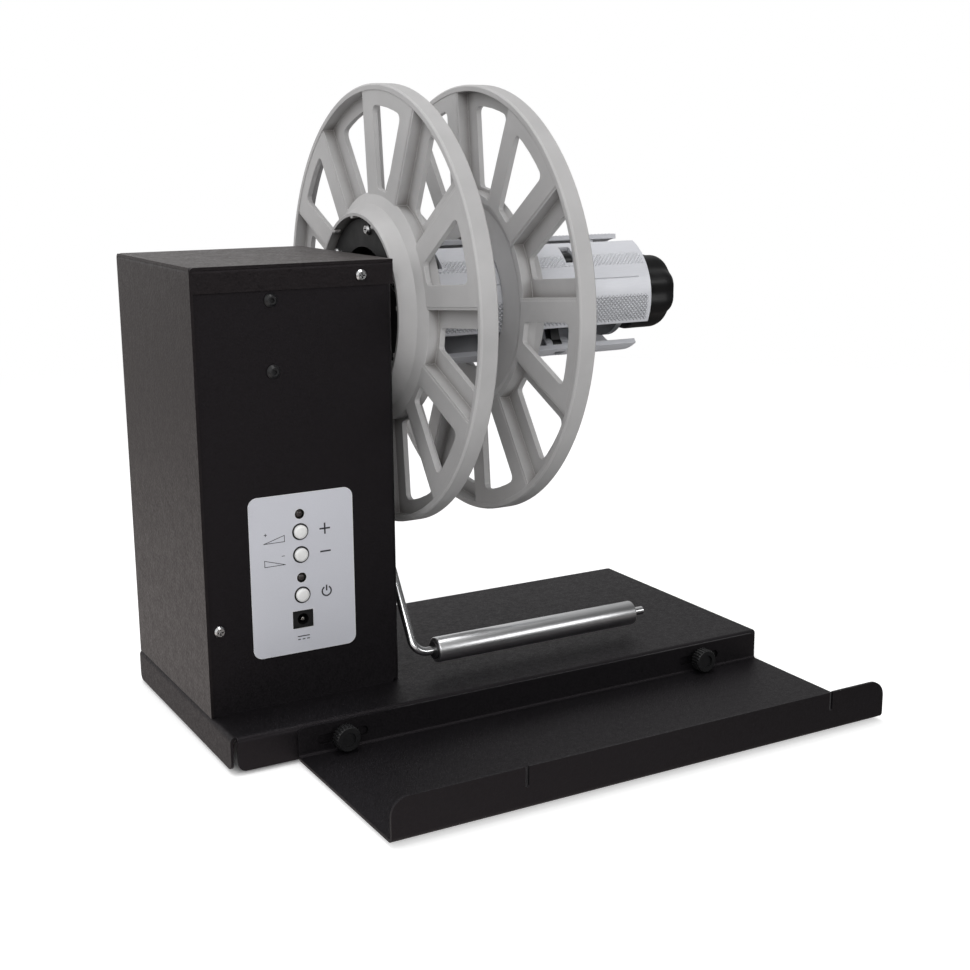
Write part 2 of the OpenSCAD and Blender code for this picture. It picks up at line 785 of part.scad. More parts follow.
standoff_at = [for (x = [board_edge - board_w / 2, board_w / 2 - board_edge], z = [board_edge,
    board_h - board_edge])
    [control_wx + x, label_low + board_rise + z]];

module board_standoffs() {
    color([0.75, 0.65, 0.35]) place() for (p = standoff_at) facing_back([p[0], front_in, p[1]]) {
        cylinder(r = standoff_r, h = board_gap);
        cylinder(r = m3_r, h = board_gap + board_t + 1);
    }
}

module tact_switches() {
    color([0.12, 0.12, 0.12]) place() for (z = button_rise) difference() {
        translate([control_wx - switch_w / 2, board_y - switch_h, label_low + z - switch_w / 2])
            cube([switch_w, switch_h, switch_w]);
        facing_back([control_wx, board_y - switch_h - cut, label_low + z])
            cylinder(r = stem_r + run_fit, h = switch_hole + cut);
    }
}

module indicator_leds() {
    lens_back = front_in + lens_in;
    lens_l = lens_back - label_front;
    color([0.2, 0.2, 0.2]) place() for (z = led_rise) facing_back([control_wx, label_front,
        label_low + z]) {
        rotate_extrude() intersection() {
            square([led_r, lens_l]);
            union() {
                translate([0, led_r * 0.8]) square([led_r, lens_l]);
                translate([0, led_r * 1.05]) circle(led_r * 1.02);
            }
        }
        translate([0, 0, lens_l]) cylinder(r = led_r + lens_rim, h = lens_rim_t);
        for (x = [-lead_half, lead_half]) translate([x, 0, lens_l + lens_rim_t])
            cylinder(r = lead_r, h = board_y - lens_back - lens_rim_t, $fn = 16);
    }
}

// Push button with a crowned cap, a rim behind the panel and a stem into its switch
module push_button(z) {
    cap_l = front_in + slide_gap - label_front + button_proud;
    stem_l = board_y - switch_h + stem_in - front_in - slide_gap - button_lip_t;
    crown = 0.6;
    color([0.9, 0.89, 0.85]) place() facing_back([control_wx, label_front - button_proud,
        label_low + z]) rotate_extrude()
        polygon([[0, 0], [button_r - 1.2, 0.15], [button_r - 0.3, crown], [button_r, crown + 0.5],
            [button_r, cap_l],
            [button_lip_r, cap_l], [button_lip_r, cap_l + button_lip_t], [stem_r, cap_l + button_lip_t],
            [stem_r, cap_l + button_lip_t + stem_l], [0, cap_l + button_lip_t + stem_l]]);
}

module button_faster() { push_button(button_rise[0]); }

module button_slower() { push_button(button_rise[1]); }

module button_power() { push_button(button_rise[2]); }

module dc_socket() {
    depth = board_y - label_front;
    color([0.05, 0.05, 0.05]) place() facing_back([control_wx, label_front, label_low + jack_rise]) {
        difference() {
            translate([-jack_w / 2, -jack_h / 2, 0]) cube([jack_w, jack_h, depth]);
            translate([0, 0, -cut]) cylinder(r = jack_hole_r, h = jack_hole_l + cut);
        }
        translate([0, 0, jack_pin_back]) cylinder(r = jack_pin_r, h = jack_hole_l);
    }
}

// Drive
module motor_bracket() {
    low = spindle_z - bracket_down;
    tall = bracket_up + bracket_down;
    color([0.62, 0.63, 0.65]) place() difference() {
        union() {
            translate([bracket_x, front_in, low]) cube([bracket_t, back_in - front_in, tall]);
            for (y = [front_in, back_in - bracket_t])
                translate([bracket_x + bracket_t - bracket_leg, y, low])
                    cube([bracket_leg, bracket_t, tall]);
        }
        for (p = bracket_screw_at, y = [front_in - cut, back_in - bracket_t - cut])
            facing_back([p[0], y, p[1]]) cylinder(r = m4_r + seat_fit, h = bracket_t + 2 * cut);
        on_spindle(bracket_x - cut) {
            cylinder(r = pilot_r + hole_fit, h = bracket_t + 2 * cut);
            for (p = motor_screw_at) translate(p) cylinder(r = m3_r + hole_fit, h = bracket_t + 2 * cut);
        }
    }
}

module gear_motor() {
    color([0.7, 0.71, 0.72]) place() on_spindle(bracket_x) difference() {
        union() {
            translate([0, 0, -gearbox_l]) cylinder(r = gearbox_r, h = gearbox_l);
            translate([0, 0, -gearbox_l - can_l]) cylinder(r = can_r, h = can_l);
            for (z = [-gearbox_l - can_ring_in, -gearbox_l - can_l + can_ring_in])
                translate([0, 0, z]) cylinder(r = can_r + can_ring_out, h = can_ring_w);
            cylinder(r = pilot_r, h = pilot_l);
        }
        translate([0, 0, -motor_shaft_in - end_gap])
            cylinder(r = motor_shaft_r + run_fit, h = motor_shaft_in + end_gap + pilot_l + cut);
        for (p = motor_screw_at) translate([p[0], p[1], -motor_screw_in])
            cylinder(r = m3_r + seat_fit, h = motor_screw_in + cut);
    }
}

module motor_screws() {
    color([0.7, 0.7, 0.72]) place() on_spindle(bracket_x + bracket_t) mirror([0, 0, 1])
        for (p = motor_screw_at) translate(p) pan_screw(bracket_t + 5);
}

module motor_shaft() {
    color([0.75, 0.75, 0.77]) place() on_spindle(bracket_x - motor_shaft_in)
        cylinder(r = motor_shaft_r, h = motor_shaft_in + motor_shaft_out);
}

module shaft_coupling() {
    color([0.65, 0.66, 0.68]) place() on_spindle(coupling_x) difference() {
        cylinder(r = coupling_r, h = coupling_l);
        translate([0, 0, -cut]) cylinder(r = motor_shaft_r + seat_fit, h = coupling_l + 2 * cut);
        translate([0, 0, spindle_x0 - coupling_x - end_gap / 2])
            cylinder(r = shaft_r + seat_fit, h = coupling_l);
    }
}

module bearing_housing() {
    color([0.68, 0.69, 0.7]) place() on_spindle(wall_in) mirror([0, 0, 1]) difference() {
        union() {
            cylinder(r = housing_flange_r, h = housing_flange_t);
            cylinder(r = housing_r, h = housing_l);
        }
        translate([0, 0, -cut]) cylinder(r = bearing_r + seat_fit, h = housing_l + 2 * cut);
        for (p = housing_screw_at) translate([p[0], p[1], -cut])
            cylinder(r = m3_r + hole_fit, h = housing_flange_t + 2 * cut);
    }
}

module housing_screws() {
    color([0.7, 0.7, 0.72]) place() on_spindle(wall_in - housing_flange_t)
        for (p = housing_screw_at) translate(p) pan_screw(housing_flange_t + sheet_t);
}

module spindle_bearings() {
    color([0.8, 0.8, 0.82]) place() on_spindle(wall_in) mirror([0, 0, 1])
        for (z = [0, housing_l - bearing_w]) translate([0, 0, z]) rotate_extrude()
            difference() {
                translate([shaft_r + run_fit, 0]) square([bearing_r - shaft_r - run_fit, bearing_w]);
                for (e = [0, bearing_w]) translate([shaft_r + bearing_ring_t, e - bearing_shield])
                    square([bearing_r - shaft_r - 2 * bearing_ring_t, 2 * bearing_shield]);
            }
}

module spindle_shaft() {
    color([0.75, 0.76, 0.78]) place() on_spindle(0) difference() {
        translate([0, 0, spindle_x0]) cylinder(r = shaft_r, h = shaft_end - spindle_x0);
        translate([0, 0, grub_x - grub_r - slide_gap]) rotate_extrude()
            translate([shaft_r - groove_depth, 0]) square([groove_depth + cut, 2 * (grub_r + slide_gap)]);
    }
}

// Reel
// Side of the drive plate that lies on the flange's bosses
plate_face = inner_face - hub_dish - web_t - plate_back;

module drive_plate() {
    // Disc behind the inner flange with a spigot through the flange's bore
    rim = collar_r - collar_t - plate_gap;
    spigot = flange_bore_r - spigot_fit;
    back = wall_x + 2 * end_gap - plate_face;
    color([0.07, 0.07, 0.07]) place() on_spindle(plate_face) difference() {
        rotate_extrude() polygon([[shaft_r + seat_fit, back], [drive_boss_r, back],
            [drive_boss_r, -plate_t], [rim, -plate_t], [rim, 0], [spigot, 0], [spigot,
                inner_face - plate_face],
            [shaft_r + seat_fit, inner_face - plate_face]]);
        rotate_extrude() translate([drive_boss_r, -plate_t - cut])
            square([spigot - drive_boss_r - spigot_wall, plate_t + plate_back + cut]);
        for (p = boss_at) translate([p[0], p[1], -plate_t - cut])
            cylinder(r = m3_r + hole_fit, h = plate_t + 2 * cut);
    }
}

// Trapezoid window of one sector, with its outer edge along the rim
function window_half_a(r) = sector_a / 2 - asin(spoke_half / r);
function window_points() =
    let (a = window_half_a(window_in_r), b = window_half_a(window_out_r))
    concat([polar(window_in_r, a), polar(window_in_r, -a)],
        [for (i = [-2 : 2]) polar(window_out_r, b * i / 2)]);

window_fillets = [window_in_fillet, window_in_fillet, window_out_fillet, 0, 0, 0, window_out_fillet];

module sector_plate() {
    // One sector's plate, its middle along X
    linear_extrude(web_t) difference() {
        intersection() {
            circle(flange_r - rim_t / 2);
            polygon([[0, 0], polar(2 * flange_r, -sector_a / 2), polar(2 * flange_r, sector_a / 2)]);
        }
        circle(hub_r - plate_join);
        polygon(round_outline(window_points(), window_fillets));
    }
}

module flange() {
    // Roll side at 0, collar side up
    wall = collar_r - collar_t;
    difference() {
        union() {
            rotate_extrude() polygon([[flange_r - rim_t, 0], [flange_r - rim_edge, 0], [flange_r, rim_edge],
                [flange_r, rim_w - rim_edge], [flange_r - rim_edge, rim_w], [flange_r - rim_t, rim_w]]);
            for (i = [0 : sectors - 1]) rotate([0, 0, phase_a + i * sector_a]) {
                translate([0, 0, i % 2 == 0 ? rim_w - web_t - plate_inset : plate_inset]) sector_plate();
                rotate([0, 0, sector_a / 2]) translate([hub_r - join, -web_t / 2, wall_inset])
                    cube([flange_r - rim_t / 2 - hub_r + join, web_t, rim_w - 2 * wall_inset]);
            }
            rotate_extrude() polygon([[flange_bore_r, hub_dish], [collar_r + dish_run[0], hub_dish],
                [collar_r + dish_run[1], hub_inset], [hub_r, hub_inset], [hub_r, rim_w - hub_inset],
                [collar_r + cone_run[0], rim_w + cone_run[1]], [collar_r, flange_l - collar_edge_cut[1]],
                [collar_r - collar_edge_cut[0], flange_l], [wall, flange_l], [wall, hub_dish + web_t],
                [flange_bore_r, hub_dish + web_t]]);
            for (p = boss_at) translate([p[0], p[1], hub_dish + web_t / 2])
                cylinder(r = boss_r, h = plate_back + web_t / 2);
            for (i = [0 : sectors - 1]) rotate([0, 0, phase_a + sector_a / 2 + i * sector_a])
                translate([wall - tab_in, -tab_w / 2, flange_l - tab_l])
                    cube([tab_in + collar_t / 2, tab_w, tab_l]);
        }
        for (p = boss_at) translate([p[0], p[1], hub_dish + web_t / 3])
            cylinder(r = m3_r + seat_fit, h = flange_l);
    }
}

module inner_flange() {
    color([0.74, 0.74, 0.74]) place() on_spindle(inner_face) mirror([0, 0, 1]) flange();
}

module flange_screws() {
    color([0.7, 0.7, 0.72]) place() on_spindle(plate_face - plate_t)
        for (p = boss_at) translate(p) pan_screw(plate_t + plate_back);
}

module outer_flange() {
    // The same moulding turned round, with three blades that run between the fins
    color([0.74, 0.74, 0.74]) place() on_spindle(outer_face) {
        flange();
        for (i = [0 : fins - 1]) rotate([0, 0, key_a + i * 360 / fins])
            translate([tube_r + slide_gap, -key_w / 2, hub_dish + plate_inset])
                cube([flange_bore_r - tube_r + join, key_w, key_l - plate_inset]);
    }
}

// Expanding core
module core_hub() {
    // Tube on the spindle with a pair of hinge lugs for each fin
    hub_end = fin_end - hub_short;
    color([0.8, 0.8, 0.82]) place() on_spindle(0) difference() {
        union() {
            translate([0, 0, inner_face]) cylinder(r = tube_r, h = hub_end - inner_face);
            for (i = [0 : fins - 1], x = lug_xs) rotate([0, 0, hinge_a + i * 360 / fins])
                translate([0, 0, fin_x + x]) {
                translate([tube_r - join, -lug_half, 0])
                    cube([hinge_r - tube_r + join, 2 * lug_half, lug_w]);
                translate([hinge_r, 0, 0]) cylinder(r = knuckle_r, h = lug_w);
            }
        }
        translate([0, 0, inner_face - cut]) cylinder(r = shaft_r + seat_fit, h = fin_l + 2 * cut);
        for (i = [0 : fins - 1]) rotate([0, 0, hinge_a + i * 360 / fins]) translate([hinge_r, 0, fin_x])
            cylinder(r = hinge_pin_r + seat_fit, h = fin_l);
    }
}

module hinge_pins() {
    pin_l = lug_w + 2 * (lug_gap + knuckle_w);
    color([0.72, 0.72, 0.74]) place() on_spindle(0) for (i = [0 : fins - 1], x = lug_xs)
        rotate([0, 0, hinge_a + i * 360 / fins]) translate([hinge_r, 0, fin_x + x - lug_gap - knuckle_w])
            cylinder(r = hinge_pin_r, h = pin_l);
}

// Flat sector of a ring from angle a0 to angle a1, less than half a turn
module ring_sector(r0, r1, a0, a1) {
    far = 2 * r1;
    intersection() {
        difference() {
            circle(r1);
            circle(r0);
        }
        polygon([[0, 0], polar(far, a0), polar(far, (a0 + a1) / 2), polar(far, a1)]);
    }
}

// One fin: a curved shell on two hinge knuckle pairs, with a rib that carries the cam's pin
module core_fin(i) {
    score_a = fin_edge_a + fin_arc / 2;
    color([0.86, 0.86, 0.88]) place() on_spindle(0) rotate([0, 0, i * 360 / fins]) union() {
        difference() {
            union() {
                translate([0, 0, fin_x]) linear_extrude(fin_l)
                    ring_sector(core_r - fin_t, core_r, fin_edge_a, fin_edge_a + fin_arc);
                for (x = lug_xs, side = [-lug_gap - knuckle_w, lug_w + lug_gap])
                    translate([0, 0, fin_x + x + side]) rotate([0, 0, hinge_a]) translate([hinge_r, 0, 0])
                        cylinder(r = knuckle_r, h = knuckle_w);
                translate([0, 0, rib_x]) linear_extrude(rib_t)
                    ring_sector(cam_pin_pr - rib_past, core_r - fin_t / 2, cam_pin_a - rib_half_a,
                        cam_pin_a + rib_half_a);
            }
            for (x = lug_xs) translate([0, 0, fin_x + x - 2 * lug_gap]) linear_extrude(lug_w + 4 * lug_gap)
                ring_sector(core_r - fin_t - cut, core_r + cut, hinge_a - lug_window_a,
                    hinge_a + lug_window_a);
            rotate([0, 0, hinge_a]) translate([hinge_r, 0, fin_x - cut])
                cylinder(r = hinge_pin_r + run_fit, h = fin_l);
            rotate([0, 0, score_a]) translate([core_r - score_depth, -score_w / 2, fin_x - cut])
                cube([score_depth + cut, score_w, fin_l + cut - score_short]);
        }
        rotate([0, 0, cam_pin_a]) translate([cam_pin_pr, 0, rib_x + rib_t / 2])
            cylinder(r = cam_pin_r, h = rib_t / 2 + cam_gap + cam_t);
    }
}

module core_fin_1() { core_fin(0); }

module core_fin_2() { core_fin(1); }

module core_fin_3() { core_fin(2); }

// Path of a fin's pin, seen from the cam, while the knob turns by t
pin_at = polar(cam_pin_pr, cam_pin_a);
function turned(p, a) = [p[0] * cos(a) - p[1] * sin(a), p[0] * sin(a) + p[1] * cos(a)];
function cam_path(t) = turned(hinge_at + turned(pin_at - hinge_at, -t * fin_swing / knob_turn), t);
function cam_side(t) =
    let (d = unit(cam_path(t + 0.5) - cam_path(t - 0.5)))
    [-d[1], d[0]];

module core_cam() {
    // Plate with one curved slot for each fin, on a tube that the knob sits on
    steps = 12;
    turns = [for (k = [0 : steps]) k * knob_turn / steps];
    slot = concat([for (t = turns) cam_path(t) + cam_slot_half * cam_side(t)],
        [for (k = [steps : -1 : 0]) cam_path(turns[k]) - cam_slot_half * cam_side(turns[k])]);
    color([0.5, 0.5, 0.52]) place() on_spindle(cam_x) difference() {
        union() {
            cylinder(r = cam_r, h = cam_t);
            cylinder(r = cam_tube_r, h = knob_x + knob_seat - cam_x);
        }
        translate([0, 0, -cut]) cylinder(r = shaft_r + run_fit, h = fin_l);
        for (i = [0 : fins - 1]) rotate([0, 0, i * 360 / fins]) translate([0, 0, -cut]) {
            linear_extrude(cam_t + 2 * cut) polygon(slot);
            for (t = [0, knob_turn]) translate(cam_path(t))
                cylinder(r = cam_slot_half, h = cam_t + 2 * cut);
        }
        on_grub() cylinder(r = grub_r + seat_fit, h = cam_tube_r + cut);
    }
}

module on_grub() {
    // Frame of the radial grub screw, from the spindle outwards
    translate([0, 0, grub_x - cam_x]) rotate([0, 90, 0]) children();
}

module core_knob() {
    lobes = 8;
    lobe_cut_r = 16;
    lobe_depth = 1.4;
    dome = 15;
    foot = 1.5;
    color([0.05, 0.05, 0.05]) place() on_spindle(knob_x) difference() {
        rotate_extrude() intersection() {
            square([knob_r, knob_l]);
            union() {
                translate([0, foot]) square([knob_r, knob_l - dome - foot]);
                square([knob_r - foot, knob_l - dome]);
                translate([knob_r - foot, foot]) circle(foot);
                translate([knob_r - dome, knob_l - dome]) circle(dome);
                square([knob_r - dome, knob_l]);
            }
        }
        for (i = [1 : lobes]) rotate([0, 0, i * 360 / lobes])
            translate([knob_r + lobe_cut_r - lobe_depth, 0, -cut])
                cylinder(r = lobe_cut_r, h = knob_l + 2 * cut);
        translate([0, 0, -cut]) cylinder(r = cam_tube_r + seat_fit, h = knob_seat + cut);
        translate([0, 0, -cut]) cylinder(r = shaft_r + run_fit, h = shaft_end - knob_x + end_gap + cut);
    }
}

module knob_grub_screw() {
    color([0.15, 0.15, 0.15]) place() on_spindle(cam_x) on_grub()
        translate([0, 0, shaft_r - groove_depth + slide_gap])
        cylinder(r = grub_r, h = cam_tube_r - shaft_r + groove_depth - slide_gap - 0.3);
}

// Dancer arm: a rod bent along a path of corner points
module rod_run(a, b) {
    d = unit(b - a);
    s = unit(cross(d, abs(d[0]) < 0.9 ? [1, 0, 0] : [0, 1, 0]));
    t = cross(d, s);
    multmatrix([[s[0], t[0], d[0], a[0]], [s[1], t[1], d[1], a[1]], [s[2], t[2], d[2], a[2]], [0, 0, 0, 1]])
        cylinder(r = rod_r, h = norm(b - a));
}

module rod_bend(p, d1, d2, r) {
    turn = acos(d1 * d2);
    n = unit(d2 - d1 * (d1 * d2));
    c = p - d1 * r * tan(turn / 2) + n * r;
    z = cross(d1, n);
    lap = acos(1 - bend_step * 0.8 / r);     // how far the bend reaches into the straight runs
    multmatrix([[-n[0], d1[0], z[0], c[0]], [-n[1], d1[1], z[1], c[1]], [-n[2], d1[2], z[2], c[2]], [0,
        0, 0, 1]])
        rotate([0, 0, -lap]) rotate_extrude(angle = turn + 2 * lap)
            translate([r, 0]) circle(rod_r - bend_step);
}

arm_points = [[wall_in - rod_in, pivot_y, pivot_z], [arm_x, pivot_y, pivot_z], [arm_x, roller_y, roller_z],
    [roller_x + roller_l + rod_stub, roller_y, roller_z]];
function arm_dir(i) = unit(arm_points[i + 1] - arm_points[i]);
function arm_cut(i) = i == 0 || i == len(arm_points) - 1 ? 0 :
    arm_bend_rs[i] * tan(acos(arm_dir(i - 1) * arm_dir(i)) / 2);

module dancer_arm() {
    last = len(arm_points) - 1;
    color([0.78, 0.79, 0.8]) place() difference() {
        union() {
            for (i = [0 : last - 1])
                rod_run(arm_points[i] + arm_dir(i) * arm_cut(i),
                    arm_points[i + 1] - arm_dir(i) * arm_cut(i + 1));
            for (i = [1 : last - 1]) rod_bend(arm_points[i], arm_dir(i - 1), arm_dir(i), arm_bend_rs[i]);
        }
        for (x = clip_xs) translate([x, roller_y, roller_z]) rotate([0, 90, 0]) difference() {
            cylinder(r = rod_r + cut, h = clip_t + 2 * seat_fit);
            translate([0, 0, -cut]) cylinder(r = rod_r - clip_groove, h = clip_t + 3 * cut);
        }
    }
}

clip_xs = [roller_x - slide_gap - clip_t, roller_x + roller_l + slide_gap];

module arm_bush() {
    color([0.72, 0.6, 0.3]) place() on_pivot(wall_in) difference() {
        union() {
            translate([0, 0, -bush_in]) cylinder(r = bush_r, h = sheet_t + bush_in);
            translate([0, 0, sheet_t]) cylinder(r = bush_flange_r, h = bush_flange_t);
        }
        translate([0, 0, -bush_in - cut])
            cylinder(r = rod_r + run_fit, h = bush_in + sheet_t + bush_flange_t + 2 * cut);
    }
}

module arm_collar() {
    color([0.6, 0.6, 0.62]) place() on_pivot(flag_x + flag_t) difference() {
        cylinder(r = arm_collar_r, h = flag_back - bush_in - slide_gap - flag_t);
        translate([0, 0, -cut]) cylinder(r = rod_r + seat_fit, h = flag_back + 2 * cut);
    }
}

module sensor_flag() {
    color([0.3, 0.3, 0.32]) place() on_pivot(flag_x) linear_extrude(flag_t) difference() {
        union() {
            circle(flag_hub_r);
            ring_sector(arm_collar_r, flag_r, -flag_half_a, flag_half_a);
        }
        circle(rod_r + seat_fit);
    }
}

module slot_sensor() {
    // Fork that the flag passes through, on a foot on the tower's right wall
    color([0.08, 0.08, 0.08]) place() on_pivot(flag_x - sensor_fork) rotate([0, 0, sensor_a]) difference() {
        translate([sensor_in_r, -sensor_w / 2, 0]) cube([sensor_l, sensor_w, flag_back + sensor_fork]);
        translate([sensor_in_r - cut, -sensor_w / 2 - cut, sensor_fork - sensor_wall])
            cube([flag_r - sensor_in_r + sensor_wall + cut, sensor_w + 2 * cut, flag_t + 2 * sensor_wall]);
    }
}

module arm_stops() {
    // Pins on the wall that the flag's edges meet at the ends of the swing
    edge = asin((stop_r + stop_gap) / stop_pr);
    color([0.6, 0.6, 0.62]) place() on_pivot(flag_x - stop_r / 2)
        for (a = [flag_half_a + edge, -flag_half_a - arm_swing - edge])
            rotate([0, 0, a]) translate([stop_pr, 0, 0]) cylinder(r = stop_r, h = flag_back + stop_r / 2);
}

module on_roller(x) {
    translate([x, roller_y, roller_z]) rotate([0, 90, 0]) children();
}

module dancer_roller() {
    edge = 0.8;
    color([0.8, 0.81, 0.82]) place() on_roller(roller_x) rotate_extrude()
        polygon([[roller_bore_r, 0], [roller_r - edge, 0], [roller_r, edge], [roller_r, roller_l - edge],
            [roller_r - edge, roller_l], [roller_bore_r, roller_l]]);
}

module roller_bushes() {
    color([0.1, 0.1, 0.1]) place() on_roller(roller_x)
        for (z = [0, roller_l - roller_bush_l]) translate([0, 0, z])
        difference() {
            cylinder(r = roller_bore_r - seat_fit, h = roller_bush_l);
            translate([0, 0, -cut]) cylinder(r = rod_r + run_fit, h = roller_bush_l + 2 * cut);
        }
}

module roller_clips() {
    color([0.3, 0.3, 0.3]) place() for (x = clip_xs) on_roller(x + seat_fit) difference() {
        cylinder(r = clip_r, h = clip_t);
        translate([0, 0, -cut]) cylinder(r = rod_r - clip_groove + seat_fit, h = clip_t + 2 * cut);
    }
}

base_plate();
base_feet();
base_nuts();
front_tray();
tray_feet();
thumbscrew_left();
thumbscrew_right();
tower_chassis();
tower_cover();
cover_screws();
bracket_screws();
tower_screws();
control_label();
circuit_board();
board_standoffs();
tact_switches();
indicator_leds();
button_faster();
button_slower();
button_power();
dc_socket();
motor_bracket();
gear_motor();
motor_screws();
motor_shaft();
shaft_coupling();
bearing_housing();
housing_screws();
spindle_bearings();
spindle_shaft();
drive_plate();
inner_flange();
flange_screws();
core_hub();
hinge_pins();
core_fin_1();
core_fin_2();
core_fin_3();
core_cam();
core_knob();
knob_grub_screw();
outer_flange();
dancer_arm();
arm_bush();
arm_collar();
sensor_flag();
slot_sensor();
arm_stops();
dancer_roller();
roller_bushes();
roller_clips();
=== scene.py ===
"""Looks of a label unwinder: finishes for its solids, panel marks, fine detail and a pale studio"""
import json
import math

import bmesh
import bpy
from bpy.props import FloatProperty, FloatVectorProperty, PointerProperty
from mathutils import Matrix, Vector


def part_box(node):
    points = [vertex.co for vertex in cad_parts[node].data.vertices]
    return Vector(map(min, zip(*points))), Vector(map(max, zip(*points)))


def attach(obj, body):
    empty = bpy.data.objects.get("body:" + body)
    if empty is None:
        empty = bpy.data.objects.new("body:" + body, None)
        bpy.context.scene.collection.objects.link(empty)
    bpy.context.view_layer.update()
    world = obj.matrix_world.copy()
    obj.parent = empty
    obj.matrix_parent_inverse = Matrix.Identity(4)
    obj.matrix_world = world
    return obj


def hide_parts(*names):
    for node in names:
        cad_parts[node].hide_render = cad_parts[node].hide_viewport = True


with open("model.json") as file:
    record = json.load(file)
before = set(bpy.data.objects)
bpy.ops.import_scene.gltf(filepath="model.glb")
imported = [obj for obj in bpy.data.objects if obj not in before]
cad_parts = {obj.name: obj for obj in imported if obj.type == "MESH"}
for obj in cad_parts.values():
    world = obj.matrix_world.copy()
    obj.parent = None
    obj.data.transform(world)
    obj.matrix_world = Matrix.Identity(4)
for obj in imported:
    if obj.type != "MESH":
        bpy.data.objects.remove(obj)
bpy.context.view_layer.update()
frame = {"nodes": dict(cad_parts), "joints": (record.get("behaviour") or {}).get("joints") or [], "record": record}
NODES = frame["nodes"]

bl_info = {
    "name": "Label unwinder looks",
    "version": (1, 0, 0),
    "blender": (4, 5, 0),
    "location": "3D View > Sidebar > Unwinder",
    "description": "Finishes, panel marks and a pale studio for a label unwinder",
    "category": "Object",
}

MM = 0.001
MERGE = 0.001 * MM             # points closer than this become one
SPINDLE = Vector(next(j["pos_m"] for j in frame["joints"] if j["name"] == "reel_spin"))
SOCKET = Vector(next(m["pos_m"] for m in frame["record"]["mounts"] if m["name"] == "power_inlet"))


# Sizes and colours that a user would change

class UnwinderSizes(bpy.types.PropertyGroup):
    """Sizes of the fine detail"""
    coat_grain: FloatProperty(name="Coat grain", description="Size of the coat's grain", default=0.9 * MM,
                              unit="LENGTH")
    cover_grain: FloatProperty(name="Cover grain", description="Size of the sandy grain of the tower's cover",
                               default=1.5 * MM, unit="LENGTH")
    mark_lift: FloatProperty(name="Mark lift", description="Height of the printed marks above the label",
                             default=0.04 * MM, unit="LENGTH")
    stroke: FloatProperty(name="Stroke", description="Line width of the printed marks", default=0.55 * MM,
                          unit="LENGTH")
    knurl_pitch: FloatProperty(name="Knurl pitch", description="Distance between the knurl's points",
                               default=2.6 * MM, unit="LENGTH")
    knurl_height: FloatProperty(name="Knurl height", description="Height of the knurl's points",
                                default=0.38 * MM, unit="LENGTH")
    flute_depth: FloatProperty(name="Flute depth", description="Depth of the flutes round the end knob",
                               default=1.9 * MM, unit="LENGTH")


class UnwinderColours(bpy.types.PropertyGroup):
    """Colours of the finishes"""
    coat: FloatVectorProperty(name="Coat", description="Coat of the base, tray and tower",
                              default=(0.0034, 0.0033, 0.0038), size=3, subtype="COLOR")
    cover: FloatVectorProperty(name="Cover coat", description="Coat of the tower's cover",
                               default=(0.0036, 0.0031, 0.003), size=3, subtype="COLOR")
    flange: FloatVectorProperty(name="Flange", description="Flange plastic",
                                default=(0.455, 0.449, 0.449), size=3, subtype="COLOR")
    core: FloatVectorProperty(name="Core", description="Fins of the core",
                              default=(0.66, 0.668, 0.705), size=3, subtype="COLOR")
    label: FloatVectorProperty(name="Label", description="Panel label",
                               default=(0.68, 0.69, 0.745), size=3, subtype="COLOR")
    ink: FloatVectorProperty(name="Ink", description="Printed marks",
                             default=(0.03, 0.03, 0.035), size=3, subtype="COLOR")
    button: FloatVectorProperty(name="Button", description="Push buttons",
                                default=(0.8, 0.8, 0.79), size=3, subtype="COLOR")


class UnwinderStage(bpy.types.PropertyGroup):
    """Studio settings"""
    key_power: FloatProperty(name="Key light", description="Power of the large light on the left",
                             default=1.5, unit="POWER")
    fill_power: FloatProperty(name="Fill light", description="Power of the light in front",
                              default=14.5, unit="POWER")
    top_power: FloatProperty(name="Top light", description="Power of the light above",
                             default=9.5, unit="POWER")
    strip_power: FloatProperty(name="Strip light", description="Power of the light that the steel mirrors",
                               default=10.0, unit="POWER")
    bright_side: FloatProperty(name="Bright side", description="Surround's brightness on the left",
                               default=0.82)
    dark_side: FloatProperty(name="Dark side", description="Surround's brightness on the right",
                             default=0.09)


def sizes():
    return bpy.context.scene.unwinder_sizes


def colours():
    return bpy.context.scene.unwinder_colours


# Finishes

WHITE = (1.0, 1.0, 1.0, 1.0)


